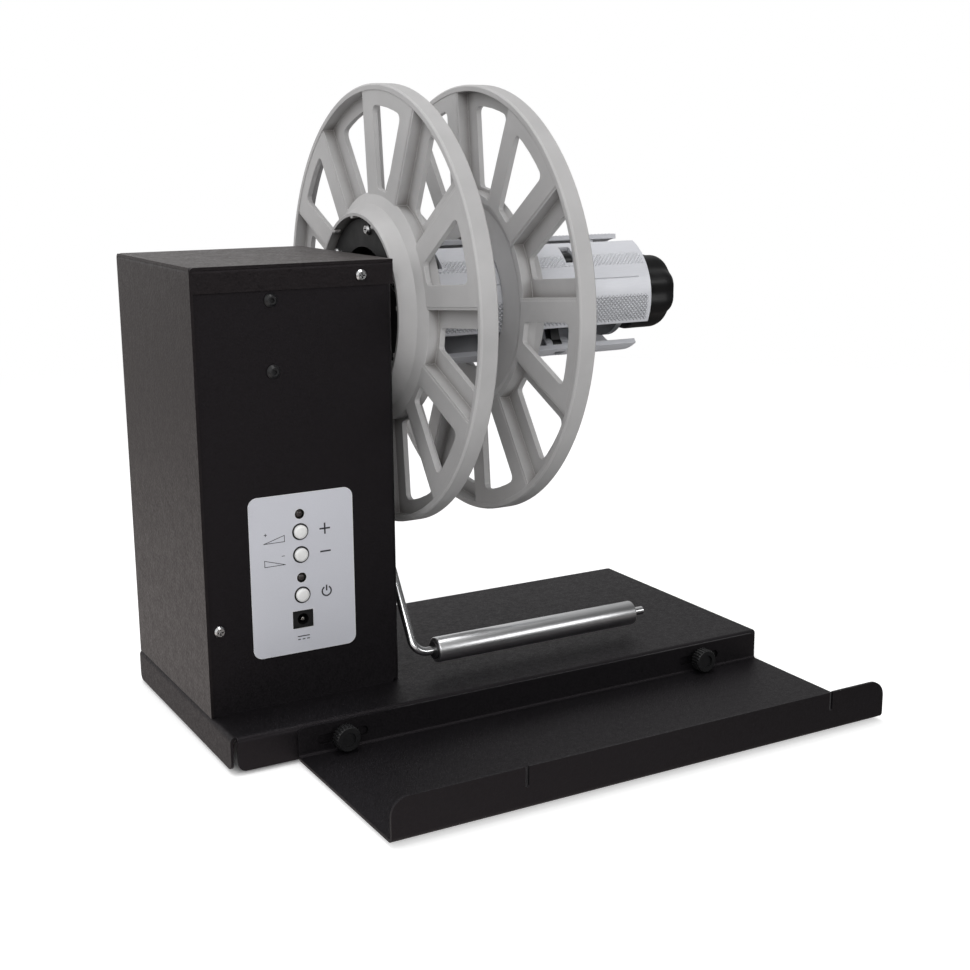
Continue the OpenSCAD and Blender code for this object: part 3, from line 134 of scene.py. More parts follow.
class Nodes:
    """A node tree, with short calls for the nodes that its users share"""

    def __init__(self, tree):
        self.tree = tree

    def add(self, kind, **settings):
        made = self.tree.nodes.new(kind)
        for key, value in settings.items():
            setattr(made, key, value)
        return made

    def join(self, source, target):
        """Links a socket to an input, or sets the input where the source is a plain value"""
        if isinstance(source, bpy.types.NodeSocket):
            self.tree.links.new(source, target)
        else:
            target.default_value = source

    def math(self, operation, *sources):
        """Result of a sum on sockets and numbers"""
        made = self.add("ShaderNodeMath", operation=operation)
        for source, target in zip(sources, made.inputs):
            self.join(source, target)
        return made.outputs[0]

    def vector(self, operation, *sources):
        """Vector node that works on sockets and vectors"""
        made = self.add("ShaderNodeVectorMath", operation=operation)
        for source, target in zip(sources, made.inputs):
            self.join(source, target)
        return made

    def span(self, source, low, high, start=0.3, stop=0.7):
        """Maps a grey value between start and stop to the range from low to high"""
        made = self.add("ShaderNodeMapRange")
        made.inputs["From Min"].default_value = start
        made.inputs["From Max"].default_value = stop
        made.inputs["To Min"].default_value = low
        made.inputs["To Max"].default_value = high
        self.join(source, made.inputs["Value"])
        return made.outputs["Result"]

    def light(self, kind, strength, colour=WHITE):
        """Emission or Background of one colour"""
        made = self.add(kind)
        made.inputs["Color"].default_value = colour
        self.join(strength, made.inputs["Strength"])
        return made.outputs[0]

    def mix(self, factor, first, second):
        """Shader between first and second"""
        made = self.add("ShaderNodeMixShader")
        for source, target in zip((factor, first, second), made.inputs):
            self.join(source, target)
        return made.outputs[0]


class Finish(Nodes):
    """A material's node tree, with short calls for what the finishes share"""

    def __init__(self, name):
        self.material = bpy.data.materials.new(name)
        self.material.use_nodes = True
        super().__init__(self.material.node_tree)
        self.shader = self.tree.nodes["Principled BSDF"]
        self.coords = self.add("ShaderNodeTexCoord").outputs["Object"]

    def set(self, **values):
        for key, value in values.items():
            self.shader.inputs[key.replace("_", " ")].default_value = value
        return self

    def noise(self, grain, detail=3.0, roughness=0.55, stretch=None):
        """Noise whose features are about grain metres across"""
        made = self.add("ShaderNodeTexNoise")
        made.inputs["Scale"].default_value = 1.0 / grain
        made.inputs["Detail"].default_value = detail
        made.inputs["Roughness"].default_value = roughness
        source = self.coords
        if stretch:
            mapping = self.add("ShaderNodeMapping")
            mapping.inputs["Scale"].default_value = stretch
            self.join(source, mapping.inputs["Vector"])
            source = mapping.outputs["Vector"]
        self.join(source, made.inputs["Vector"])
        return made.outputs["Fac"]

    def blend(self, factor, first, second):
        """Colour between first and second; each is a colour or a socket"""
        made = self.add("ShaderNodeMix", data_type="RGBA")
        self.join(factor, made.inputs["Factor"])
        for name, source in (("A", first), ("B", second)):
            target = next(s for s in made.inputs if s.name == name and s.type == "RGBA")
            self.join((*source, 1.0) if isinstance(source, tuple) else source, target)
        return next(s for s in made.outputs if s.type == "RGBA")

    def radius(self):
        """Distance from the spindle's axis"""
        offset = self.vector("SUBTRACT", self.coords, SPINDLE)
        across = self.vector("MULTIPLY", offset.outputs["Vector"], (0, 1, 1))
        return self.vector("LENGTH", across.outputs["Vector"]).outputs["Value"]

    def shade_in_corners(self, reach):
        """Mask that is 1 in corners, where shade is painted"""
        made = self.add("ShaderNodeAmbientOcclusion", samples=6)
        made.inputs["Distance"].default_value = reach
        return self.span(made.outputs["AO"], low=1.0, high=0.0, start=0.35, stop=0.8)

    def colour(self, source):
        self.join(source, self.shader.inputs["Base Color"])
        return self

    def rough(self, source):
        self.join(source, self.shader.inputs["Roughness"])
        return self

    def bump(self, source, strength, depth, rounding=0.0):
        """Fine relief, over edges that look rounded to a radius where one is given"""
        made = self.add("ShaderNodeBump")
        if rounding:
            bevel = self.add("ShaderNodeBevel", samples=4)
            bevel.inputs["Radius"].default_value = rounding
            self.join(bevel.outputs["Normal"], made.inputs["Normal"])
        made.inputs["Strength"].default_value = strength
        made.inputs["Distance"].default_value = depth
        self.join(source, made.inputs["Height"])
        self.join(made.outputs["Normal"], self.shader.inputs["Normal"])
        return self

    def edges(self, radius):
        """Mask that is 1 along sharp edges"""
        bevel = self.add("ShaderNodeBevel", samples=4)
        bevel.inputs["Radius"].default_value = radius
        flat = self.add("ShaderNodeNewGeometry")
        dot = self.vector("DOT_PRODUCT", bevel.outputs["Normal"], flat.outputs["Normal"])
        return self.span(dot.outputs["Value"], low=1.0, high=0.0, start=0.9, stop=0.995)

    def shade(self, source, base, darkest, palest, **run):
        """Colour that follows a noise between two shares of the base colour"""
        return self.blend(self.span(source, 0.0, 1.0, **run), scaled(base, darkest), scaled(base, palest))

    def edge_wear_and_highlight(self, tone, base, radius, share):
        """Tone that turns to a share of the base colour along sharp edges: edge wear, and on the label a painted
        highlight
        """
        return self.blend(self.edges(radius), tone, scaled(base, share))


def scaled(colour, k):
    """Colour times k, held at white"""
    return tuple(min(1.0, c * k) for c in colour[:3])


COAT_TINT = (1.0, 0.88, 0.96, 1.0)     # of its gloss, seen straight on
SHEEN_TINT = (1.0, 0.92, 0.88, 1.0)    # of the sandy cover, seen at a low angle
SHEEN_SPREAD = 0.4
COAT_CLOUD = 50 * MM
CLOUD_COVER, CLOUD_PALE = 0.35, 1.4    # most of a cloud's cover, and its share of the colour
COAT_EDGE = 0.5 * MM
COAT_RELIEF = 0.3 * MM
COAT_MATT = 0.2                # how much rougher the high grains are
PIT_SIZE = 3.5                 # in grains
PIT_MATT = (-0.04, 0.06)


def powder_coat(name, base, gloss, smoothest, grain, relief, sheen=0.0):
    """Baked coat over folded sheet, with a sandy grain and paler edges"""
    made = Finish(name).set(Specular_IOR_Level=gloss, Specular_Tint=COAT_TINT, Sheen_Weight=sheen,
                            Sheen_Roughness=SHEEN_SPREAD, Sheen_Tint=SHEEN_TINT)
    speckle = made.noise(grain, detail=2.0, roughness=0.6)
    pits = made.noise(grain * PIT_SIZE, detail=2.0, roughness=0.5)
    cloud = made.noise(COAT_CLOUD)
    tone = made.shade(speckle, base, darkest=0.6, palest=1.7, start=0.35, stop=0.68)
    tone = made.blend(made.span(cloud, 0.0, CLOUD_COVER), tone, scaled(base, CLOUD_PALE))
    tone = made.edge_wear_and_highlight(tone, base, COAT_EDGE, share=2.6)
    grain_gloss = made.span(speckle, smoothest, smoothest + COAT_MATT)
    made.rough(made.math("ADD", grain_gloss, made.span(pits, *PIT_MATT)))
    made.colour(tone).bump(speckle, relief, COAT_RELIEF)
    return made.material


# Painted shade: the flanges turn to this colour in their corners, by ambient occlusion
CORNER_SHADE = (0.21, 0.198, 0.19)
CORNER_SHADE_REACH = 9 * MM
FLANGE_FLOW = 35 * MM
FLANGE_GRAIN = 0.5 * MM
FLANGE_EDGE = 0.7 * MM


def flange_plastic():
    """Moulded plastic with flow marks, painted shade in its corners and rounded edges"""
    made = Finish("flange_plastic").set(Specular_IOR_Level=0.4)
    base = colours().flange
    flow = made.noise(FLANGE_FLOW, detail=4.0)
    grain = made.noise(FLANGE_GRAIN, detail=2.0)
    tone = made.shade(flow, base, darkest=0.9, palest=1.05)
    # painted shade, darker towards the corners
    tone = made.blend(made.shade_in_corners(CORNER_SHADE_REACH), tone, CORNER_SHADE)
    tone = made.edge_wear_and_highlight(tone, base, FLANGE_EDGE, share=1.2)
    made.colour(tone).rough(made.span(flow, 0.36, 0.48))
    made.bump(grain, strength=0.1, depth=0.08 * MM, rounding=FLANGE_EDGE)
    return made.material


CORE_LINES = 0.6 * MM
CORE_CLOUD = 30 * MM
CORE_EDGE = 0.4 * MM
CORE_ROUNDING = 0.6 * MM
KNURL_SHADE_SHARE = 0.42              # share of the colour that the painted shade leaves between the points


def core_finish(name="core_finish", knurled=False):
    """Painted metal with lines along the core, and painted shade between the points where it is knurled"""
    made = Finish(name).set(Metallic=0.1, Specular_IOR_Level=0.5)
    base = colours().core
    streak = made.noise(CORE_LINES, roughness=0.6, stretch=(0.1, 1.0, 1.0))
    cloud = made.noise(CORE_CLOUD)
    tone = made.shade(streak, base, darkest=0.975, palest=1.02)
    if knurled:
        # painted shade between the knurl's points, darkest at their feet
        height = made.span(made.radius(), 0.0, 1.0, start=FIN_RADIUS, stop=FIN_RADIUS + KNURL_SHADE)
        tone = made.blend(height, scaled(base, KNURL_SHADE_SHARE), tone)
    else:
        tone = made.edge_wear_and_highlight(tone, base, CORE_EDGE, share=1.2)
    made.colour(tone).rough(made.span(cloud, 0.34, 0.46))
    made.bump(streak, strength=0.03, depth=0.04 * MM, rounding=CORE_ROUNDING)
    return made.material


STEEL_CLOUD = 12 * MM
CLEAR_SHARE = 0.75             # how far the clear patches differ, against the cloudy ones
RECESS_SHADE = 0.08             # share of the colour left by painted shade in a screw's recess


def steel(name, base, roughness, lay=(1.0, 1.0, 1.0), grain=0.35 * MM, relief=0.1, cloudy=0.2, reach=0.0):
    """Metal with fine lines along the axis whose lay is small, and painted shade in corners where a reach is given
    """
    made = Finish(name).set(Metallic=1.0)
    lines = made.noise(grain, roughness=0.6, stretch=lay)
    cloud = made.noise(STEEL_CLOUD)
    tone = made.shade(lines, base, darkest=0.9, palest=1.06)
    if reach:
        # painted shade in a screw's recess
        tone = made.blend(made.shade_in_corners(reach), tone, scaled(base, RECESS_SHADE))
    gloss = made.span(cloud, roughness * (1 - CLEAR_SHARE * cloudy), roughness * (1 + cloudy))
    made.colour(tone).rough(gloss).bump(lines, relief, depth=0.03 * MM)
    return made.material


PLASTIC_CLOUD = 10 * MM
PLASTIC_EDGE = 0.3 * MM


def plastic(name, base, smoothest, roughest, grain, strength=0.12, depth=0.06 * MM, wear=1.6):
    """Moulded plastic or rubber with a fine grain and paler edges"""
    made = Finish(name).set(Specular_IOR_Level=0.45)
    fine = made.noise(grain, detail=2.0)
    cloud = made.noise(PLASTIC_CLOUD)
    tone = made.shade(cloud, base, darkest=0.9, palest=1.1)
    tone = made.edge_wear_and_highlight(tone, base, PLASTIC_EDGE, wear)
    made.colour(tone).rough(made.span(cloud, smoothest, roughest)).bump(fine, strength, depth)
    return made.material


LABEL_SPARKLE = 0.22 * MM
LABEL_CLOUD = 20 * MM
LABEL_HIGHLIGHT_EDGE = 0.5 * MM


def label_film():
    """Silver film with a fine sparkle and a painted highlight along its cut edge"""
    made = Finish("label_film").set(Specular_IOR_Level=0.4, Metallic=0.25)
    base = colours().label
    fine = made.noise(LABEL_SPARKLE, detail=2.0, roughness=0.6)
    cloud = made.noise(LABEL_CLOUD, detail=2.0)
    tone = made.shade(fine, base, darkest=0.95, palest=1.05)
    # painted highlight along the label's cut edge
    tone = made.edge_wear_and_highlight(tone, base, LABEL_HIGHLIGHT_EDGE, share=1.5)
    made.colour(tone).rough(made.span(cloud, 0.4, 0.5)).bump(fine, strength=0.06, depth=0.02 * MM)
    return made.material


FINISH_NODES = {
    "coat": ("base_plate", "front_tray", "tower_chassis"),
    "cover": ("tower_cover",),
    "flange": ("inner_flange", "outer_flange"),
    "core": ("core_fin_1", "core_fin_2", "core_fin_3"),
    "rod": ("dancer_arm",),
    "roller": ("dancer_roller",),
    "screw": ("cover_screws", "tower_screws", "motor_screws", "housing_screws", "flange_screws"),
    "zinc": ("base_nuts", "motor_bracket", "hinge_pins", "arm_collar", "sensor_flag", "arm_stops"),
    "cast": ("gear_motor", "bearing_housing", "shaft_coupling", "core_cam"),
    "ground": ("motor_shaft", "spindle_shaft", "spindle_bearings"),
    "brass": ("board_standoffs", "arm_bush"),
    "oxide": ("bracket_screws", "roller_clips", "knob_grub_screw", "core_hub"),
    "black": ("tact_switches", "slot_sensor", "roller_bushes"),
    "matt": ("drive_plate", "dc_socket", "thumbscrew_left", "thumbscrew_right"),
    "knob": ("core_knob",),
    "rubber": ("base_feet", "tray_feet"),
    "label": ("control_label",),
    "button": ("button_faster", "button_slower", "button_power"),
    "lens": ("indicator_leds",),
    "board": ("circuit_board",),
}

TURNED = (1.0, 0.1, 0.1)       # lines round a shaft that lies along X

STEELS = {
    "rod": dict(name="rod_steel", base=(0.78, 0.785, 0.795), roughness=0.22, lay=(1.0, 1.0, 0.15)),
    "roller": dict(name="roller_steel", base=(0.8, 0.805, 0.815), roughness=0.3, lay=(0.03, 1.0, 1.0),
                   grain=0.5 * MM, relief=0.05, cloudy=0.06),
    "screw": dict(name="plated_screw", base=(0.7, 0.705, 0.71), roughness=0.28, grain=1.5 * MM,
                  reach=1.0 * MM),
    "zinc": dict(name="zinc_plate", base=(0.66, 0.67, 0.68), roughness=0.28, grain=1.5 * MM),
    "cast": dict(name="cast_metal", base=(0.55, 0.56, 0.57), roughness=0.42, grain=0.6 * MM),
    "ground": dict(name="ground_steel", base=(0.62, 0.63, 0.64), roughness=0.2, lay=TURNED),
    "brass": dict(name="turned_brass", base=(0.7, 0.52, 0.24), roughness=0.25, lay=TURNED),
    "pin": dict(name="socket_pin", base=(0.75, 0.74, 0.7), roughness=0.2),
}

PLASTICS = {
    "oxide": dict(name="black_oxide", base=(0.012, 0.012, 0.013), smoothest=0.3, roughest=0.42,
                  grain=0.4 * MM),
    "knob": dict(name="knob_plastic", base=(0.005, 0.005, 0.0055), smoothest=0.4, roughest=0.5,
                 grain=0.5 * MM, strength=0.08, depth=0.05 * MM, wear=1.3),
    "black": dict(name="black_plastic", base=(0.011, 0.011, 0.012), smoothest=0.42, roughest=0.55,
                  grain=0.35 * MM),
    "matt": dict(name="matt_plastic", base=(0.004, 0.004, 0.0045), smoothest=0.45, roughest=0.6,
                 grain=0.4 * MM, strength=0.1, depth=0.05 * MM, wear=1.5),
    "rubber": dict(name="foot_rubber", base=(0.018, 0.018, 0.018), smoothest=0.7, roughest=0.85,
                   grain=0.5 * MM, strength=0.25),
    "lens": dict(name="tinted_lens", base=(0.035, 0.03, 0.028), smoothest=0.12, roughest=0.2,
                 grain=0.8 * MM, strength=0.03),
    "board": dict(name="board_laminate", base=(0.02, 0.11, 0.04), smoothest=0.3, roughest=0.45,
                  grain=1.0 * MM),
}


def finish_of(group):
    """Makes the finish of one group of nodes"""
    if group == "coat":
        return powder_coat("powder_coat", colours().coat, gloss=0.27, smoothest=0.42,
                           grain=sizes().coat_grain, relief=0.4)
    if group == "cover":
        return powder_coat("cover_coat", colours().cover, gloss=0.3, smoothest=0.38,
                           grain=sizes().cover_grain, relief=0.6, sheen=0.1)
    if group == "flange":
        return flange_plastic()
    if group == "core":
        return core_finish()
    if group == "label":
        return label_film()
    if group == "button":
        return plastic("button_plastic", colours().button, smoothest=0.3, roughest=0.4, grain=0.4 * MM,
                       strength=0.05, depth=0.03 * MM, wear=1.1)
    if group == "ink":
        return plastic("printed_ink", colours().ink, smoothest=0.4, roughest=0.5, grain=0.3 * MM,
                       strength=0.05, depth=0.02 * MM, wear=1.2)
    if group in STEELS:
        return steel(**STEELS[group])
    return plastic(**PLASTICS[group])


# Shapes

def link(name, bm, material, body):
    """Makes a bmesh a piece of the object, riding on a body"""
    mesh = bpy.data.meshes.new(name)
    bm.to_mesh(mesh)
    bm.free()
    mesh.materials.append(material)
    made = bpy.data.objects.new(name, mesh)
    bpy.context.scene.collection.objects.link(made)
    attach(made, body)
    return made


def spun(points, start, steps):
    """Turns an outline of (distance along X, radius) points, closed or on the axis at both ends, about X"""
    bm = bmesh.new()
    place = Vector(start)
    ring = [bm.verts.new(place + Vector((along, 0, radius))) for along, radius in points]
    edges = [bm.edges.new(pair) for pair in zip(ring, ring[1:])]
    if all(radius > 0 for _, radius in points):
        edges.append(bm.edges.new((ring[-1], ring[0])))
    bmesh.ops.spin(bm, geom=ring + edges, cent=place, axis=(1, 0, 0), dvec=(0, 0, 0), angle=2 * math.pi,
                   steps=steps, use_merge=True, use_normal_flip=False, use_duplicate=False)
    bmesh.ops.remove_doubles(bm, verts=bm.verts, dist=MERGE)
    bmesh.ops.recalc_face_normals(bm, faces=bm.faces)
    return bm


def smooth(made, angle):
    """Shades a piece smooth, apart from edges sharper than an angle in degrees"""
    for face in made.data.polygons:
        face.use_smooth = True
    made.data.set_sharp_from_angle(angle=math.radians(angle))


PANEL_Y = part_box("control_label")[0].y


def raised_outline(bm, points, lift):
    """Adds a flat outline in the panel's plane, raised a little towards the front"""
    loop = [bm.verts.new(p) for p in points]
    face = bm.faces.new(loop)
    grown = bmesh.ops.extrude_face_region(bm, geom=[face])
    tops = [v for v in grown["geom"] if isinstance(v, bmesh.types.BMVert)]
    bmesh.ops.translate(bm, verts=tops, vec=(0, -lift, 0))


def bar(bm, start, end, width, lift):
    """Adds a straight stroke from start to end, given as X and Z on the label's face"""
    along = (Vector(end) - Vector(start)).normalized()
    side = Vector((-along.y, along.x)) * width / 2
    tip = along * width / 2
    corners = [Vector(start) - tip + side, Vector(end) + tip + side, Vector(end) + tip - side,
               Vector(start) - tip - side]
    raised_outline(bm, [(c.x, PANEL_Y, c.y) for c in corners], lift)


def arc(bm, centre, radius, start, stop, width, lift, steps=20):
    """Adds a curved stroke round a centre on the label's face, angles in degrees from the right"""
    angles = [math.radians(start + (stop - start) * i / steps) for i in range(steps + 1)]
    x, z = centre
    outer, inner = radius + width / 2, radius - width / 2
    for a, b in zip(angles, angles[1:]):
        corners = ((outer, a), (outer, b), (inner, b), (inner, a))
        raised_outline(bm, [(x + r * math.cos(t), PANEL_Y, z + r * math.sin(t)) for r, t in corners], lift)


def middle(node):
    """Middle of a node's box at rest"""
    low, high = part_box(node)
    return (low + high) / 2


# Operators, one for each piece or group

class UNWINDER_OT_finishes(bpy.types.Operator):
    """Gives every solid of the machine its finish"""
    bl_idname = "unwinder.finishes"
    bl_label = "Finishes"

    def execute(self, context):
        for group, nodes in FINISH_NODES.items():
            material = finish_of(group)
            for node in nodes:
                NODES[node].data.materials.clear()
                NODES[node].data.materials.append(material)
        return {"FINISHED"}


WEDGE_X = (-20.5 * MM, -9.0 * MM)      # ends of the speed wedges, from the button's middle
WEDGE_Z = (-4.2 * MM, -0.8 * MM)       # their lower and upper edges
WEDGE_SIGN = (1.0 * MM, 0.6 * MM)      # place of the small sign, in from the wedge's low end and up
SMALL_HALF = 0.7 * MM                  # half lengths of the small and the large signs
LARGE_HALF = 2.6 * MM
SIGN_X = 14.0 * MM                     # large signs, from the button's middle
CROSS_LIFT = 1.2                       # share of the lift, so that crossing strokes don't coincide
THIN, THICK, POWER_THICK = 0.6, 1.6, 1.5       # shares of the stroke
POWER_ARC = (120, 420)                 # degrees
POWER_BAR = (0.6 * MM, 3.0 * MM)       # heights of its ends
CURRENT_DROP = 10.5 * MM               # from the socket's middle down to the sign
CURRENT_HALF = 3.2 * MM                # half length of its line
CURRENT_LINES = (1.1 * MM, -0.6 * MM)  # heights of its line and its dashes
CURRENT_DASH = (2.6 * MM, 0.5 * MM)    # pitch and half length of its dashes


class UNWINDER_OT_panel_marks(bpy.types.Operator):
    """Prints plain signs beside the push buttons and below the socket"""
    bl_idname = "unwinder.panel_marks"
    bl_label = "Panel marks"

    def execute(self, context):
        bm = bmesh.new()
        self.speed(bm, "button_faster", True)
        self.speed(bm, "button_slower", False)
        self.power(bm)
        self.current(bm)
        bmesh.ops.recalc_face_normals(bm, faces=bm.faces)
        link("panel_marks", bm, finish_of("ink"), "frame")
        return {"FINISHED"}

    def speed(self, bm, node, rising):
        """Wedge with a small plus or minus on one side of a button, and a large one on the other"""
        lift, stroke = sizes().mark_lift, sizes().stroke
        x, _, z = middle(node)
        left, right = (x + offset for offset in WEDGE_X)
        low, high = (z + offset for offset in WEDGE_Z)
        corners = [(left, low), (right, low), (right if rising else left, high)]
        for a, b in zip(corners, corners[1:] + corners[:1]):
            bar(bm, a, b, stroke * THIN, lift)
        side = left + WEDGE_SIGN[0] if rising else right - WEDGE_SIGN[0]
        self.sign(bm, (side, z + WEDGE_SIGN[1]), SMALL_HALF, rising, stroke * THIN, lift, lift)
        self.sign(bm, (x + SIGN_X, z), LARGE_HALF, rising, stroke * THICK, lift, lift * CROSS_LIFT)

    def sign(self, bm, centre, half, rising, width, lift, cross_lift):
        """Minus, or a plus where the speed rises"""
        x, z = centre
        bar(bm, (x - half, z), (x + half, z), width, lift)
        if rising:
            bar(bm, (x, z - half), (x, z + half), width, cross_lift)

    def power(self, bm):
        lift, width = sizes().mark_lift, sizes().stroke * POWER_THICK
        x, _, z = middle("button_power")
        x += SIGN_X
        arc(bm, (x, z), LARGE_HALF, *POWER_ARC, width, lift)
        bar(bm, (x, z + POWER_BAR[0]), (x, z + POWER_BAR[1]), width, lift)

    def current(self, bm):
        """Direct current: a line over three dashes"""
        lift, stroke = sizes().mark_lift, sizes().stroke
        x, _, z = middle("dc_socket")
        line, dashes = (z - CURRENT_DROP + offset for offset in CURRENT_LINES)
        bar(bm, (x - CURRENT_HALF, line), (x + CURRENT_HALF, line), stroke, lift)
        pitch, half = CURRENT_DASH
        for k in (-1, 0, 1):
            bar(bm, (x + k * pitch - half, dashes), (x + k * pitch + half, dashes), stroke, lift)


BUTTON_CAP = 3.65 * MM         # radius
RING_GAP = 0.12 * MM
RING_WIDTH = 0.8 * MM
RING_LIFT = 0.15 * MM
RING_STEPS = 48


class UNWINDER_OT_button_rings(bpy.types.Operator):
    """Sets a thin dark ring round each push button, as painted shade of the gap round it"""
    bl_idname = "unwinder.button_rings"
    bl_label = "Button rings"

    def execute(self, context):
        bm = bmesh.new()
        for node in FINISH_NODES["button"]:
            x, _, z = middle(node)
            radius = BUTTON_CAP + RING_GAP + RING_WIDTH / 2
            arc(bm, (x, z), radius, 0, 360, RING_WIDTH, RING_LIFT, RING_STEPS)
        bmesh.ops.remove_doubles(bm, verts=bm.verts, dist=MERGE)
        bmesh.ops.recalc_face_normals(bm, faces=bm.faces)
        # the ring takes the socket's black plastic: painted shade of the gap round each button
        link("button_rings", bm, NODES["dc_socket"].data.materials[0], "frame")
        return {"FINISHED"}


PIN_RADIUS = 1.06 * MM
PIN_LENGTH = 8.5 * MM
PIN_DEPTH = 4.7 * MM           # of the sleeve's middle, behind the mount
PIN_EDGE = 0.35 * MM
PIN_STEPS = 32


class UNWINDER_OT_socket_pin(bpy.types.Operator):
    """Puts a bright sleeve on the power socket's middle pin"""
    bl_idname = "unwinder.socket_pin"
    bl_label = "Socket pin"

    def execute(self, context):
        bm = bmesh.new()
        turn = Matrix.Translation(SOCKET) @ Matrix.Rotation(math.radians(90), 4, "X")
        made = bmesh.ops.create_cone(bm, cap_ends=True, segments=PIN_STEPS, radius1=PIN_RADIUS,
                                     radius2=PIN_RADIUS, depth=PIN_LENGTH,
                                     matrix=turn @ Matrix.Translation((0, 0, -PIN_DEPTH)))
        front = min(v.co.y for v in made["verts"])
        rim = [e for e in bm.edges if all(abs(v.co.y - front) < MERGE for v in e.verts)]
        bmesh.ops.bevel(bm, geom=rim, offset=PIN_EDGE, segments=3, profile=0.5, affect="EDGES", material=-1)
        link("socket_pin", bm, finish_of("pin"), "frame")
        return {"FINISHED"}


FIN_RADIUS = 36.0 * MM
FIN_ANGLE = 120                # degrees from fin to fin
KNURL_BANDS = ((44.0, 56.0, 0.4), (87.0, 112.0, 1.0))      # degrees from and to, share of height
KNURL_SHADED_FROM = 1.0              # share of the height from which shade is painted between the points
KNURL_ENDS = 2.5 * MM          # bare length at each end of a fin
KNURL_SHADE = 0.24 * MM        # height up to which shade is painted between the points
KNURL_SINK = 0.03 * MM         # depth of a point's foot in the fin
KNURL_TIP = 0.12               # flat tip's radius as a share of the pitch
HINGE_WINDOWS = ((10.6 * MM, 17.8 * MM), (100.1 * MM, 107.3 * MM))     # from and to along a fin
WINDOW_ANGLE = 54.0            # degrees up to which they reach round it


class UNWINDER_OT_fin_knurls(bpy.types.Operator):
    """Rolls two bands of points along each fin of the core"""
    bl_idname = "unwinder.fin_knurls"
    bl_label = "Fin knurls"

    def execute(self, context):
        # core_knurl carries painted shade between the points; the fainter band keeps the plain finish
        material = core_finish("core_knurl", True)
        unshaded = NODES["core_fin_1"].data.materials[0]
        for fin in range(3):
            bm = bmesh.new()
            low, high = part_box("core_fin_%d" % (fin + 1))
            for start, stop, share in KNURL_BANDS:
                self.band(bm, start, stop, share, fin, low.x, high.x)
            made = link("fin_knurl_%d" % (fin + 1), bm, material, "fin_%d" % (fin + 1))
            made.data.materials.append(unshaded)
        return {"FINISHED"}

    def band(self, bm, start, stop, share, fin, x0, x1):
        """Offset rows of points over one band, clear of the hinge windows"""
        pitch, height = sizes().knurl_pitch, sizes().knurl_height * share
        slot = 0 if share >= KNURL_SHADED_FROM else 1
        whole = self.row(x1 - x0, pitch, height, (), slot)
        broken = self.row(x1 - x0, pitch, height, HINGE_WINDOWS, slot)
        for r in range(round(2 * math.radians(stop - start) * FIN_RADIUS / pitch)):
            angle = start + math.degrees((r + 0.5) * pitch / 2 / FIN_RADIUS)
            points = broken if angle < WINDOW_ANGLE else whole
            bm.from_mesh(points)
            bm.verts.ensure_lookup_table()
            turn = Matrix.Rotation(math.radians(angle + FIN_ANGLE * fin), 4, "X")
            place = Matrix.Translation((x0 + 0.5 * (r % 2) * pitch, SPINDLE.y, SPINDLE.z)) @ turn
            bmesh.ops.transform(bm, matrix=place, verts=bm.verts[-len(points.vertices):])
        for mesh in (whole, broken):
            bpy.data.meshes.remove(mesh)

    def row(self, length, pitch, height, gaps, slot):
        """One straight row of four-sided points at the fin's radius"""
        bm = bmesh.new()
        for c in range(int((length - 2 * KNURL_ENDS) / pitch)):
            x = KNURL_ENDS + (c + 0.5) * pitch
            if any(a - pitch < x < b + pitch / 2 for a, b in gaps):
                continue
            bmesh.ops.create_cone(bm, cap_ends=True, segments=4, radius1=pitch / 2, radius2=KNURL_TIP * pitch,
                                  depth=height + 2 * KNURL_SINK,
                                  matrix=Matrix.Translation((x, 0, FIN_RADIUS + height / 2 - KNURL_SINK)))
        for face in bm.faces:
            face.material_index = slot
        mesh = bpy.data.meshes.new("knurl_row")
        bm.to_mesh(mesh)
        bm.free()
        return mesh


ROLLER_BORE = 5.0 * MM
ROLLER_EDGE = 0.5 * MM
EDGE_BREAK = 0.3               # share of the edge that its middle point is set in
ROLLER_STEPS = 144
TURNED_SHARP = 50              # angle in degrees from which a turned piece's edge is sharp


class UNWINDER_OT_roller_sleeve(bpy.types.Operator):
    """Turns the dancer roller's sleeve"""
    bl_idname = "unwinder.roller_sleeve"
    bl_label = "Roller sleeve"

    def execute(self, context):
        low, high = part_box("dancer_roller")
        length, radius = high.x - low.x, (high.z - low.z) / 2
        break_in = EDGE_BREAK * ROLLER_EDGE
        half = [(0, ROLLER_BORE), (0, radius - ROLLER_EDGE), (break_in, radius - break_in),
                (ROLLER_EDGE, radius)]
        outline = half + [(length - along, out) for along, out in reversed(half)]
        centre = middle("dancer_roller")
        bm = spun(outline, (low.x, centre.y, centre.z), ROLLER_STEPS)
        made = link("roller_sleeve", bm, NODES["dancer_roller"].data.materials[0], "roller")
        smooth(made, TURNED_SHARP)
        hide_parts("dancer_roller")
        return {"FINISHED"}


KNOB_DOME = 15.0 * MM          # radius of the rounded end
KNOB_FOOT = 1.5 * MM           # and of the rounded foot
KNOB_SEAT = (11.05 * MM, 3.0 * MM)     # radius and depth of the recess over the cam's tube
KNOB_FLUTES = 8
KNOB_STEPS = 160
FOOT_STEPS, SIDE_STEPS, DOME_STEPS, CROWN_STEPS = 6, 8, 16, 4
FLUTE_START = 0.6              # share of the radius where a flute begins
FLUTE_RUN = 0.3                # further share over which it deepens
FLUTE_FOOT = 0.35              # share of the depth at the knob's foot
FLUTE_RISE = 2.5               # gain in that share over the knob's length
FLUTE_SHAPE = 1.5              # power that narrows a flute


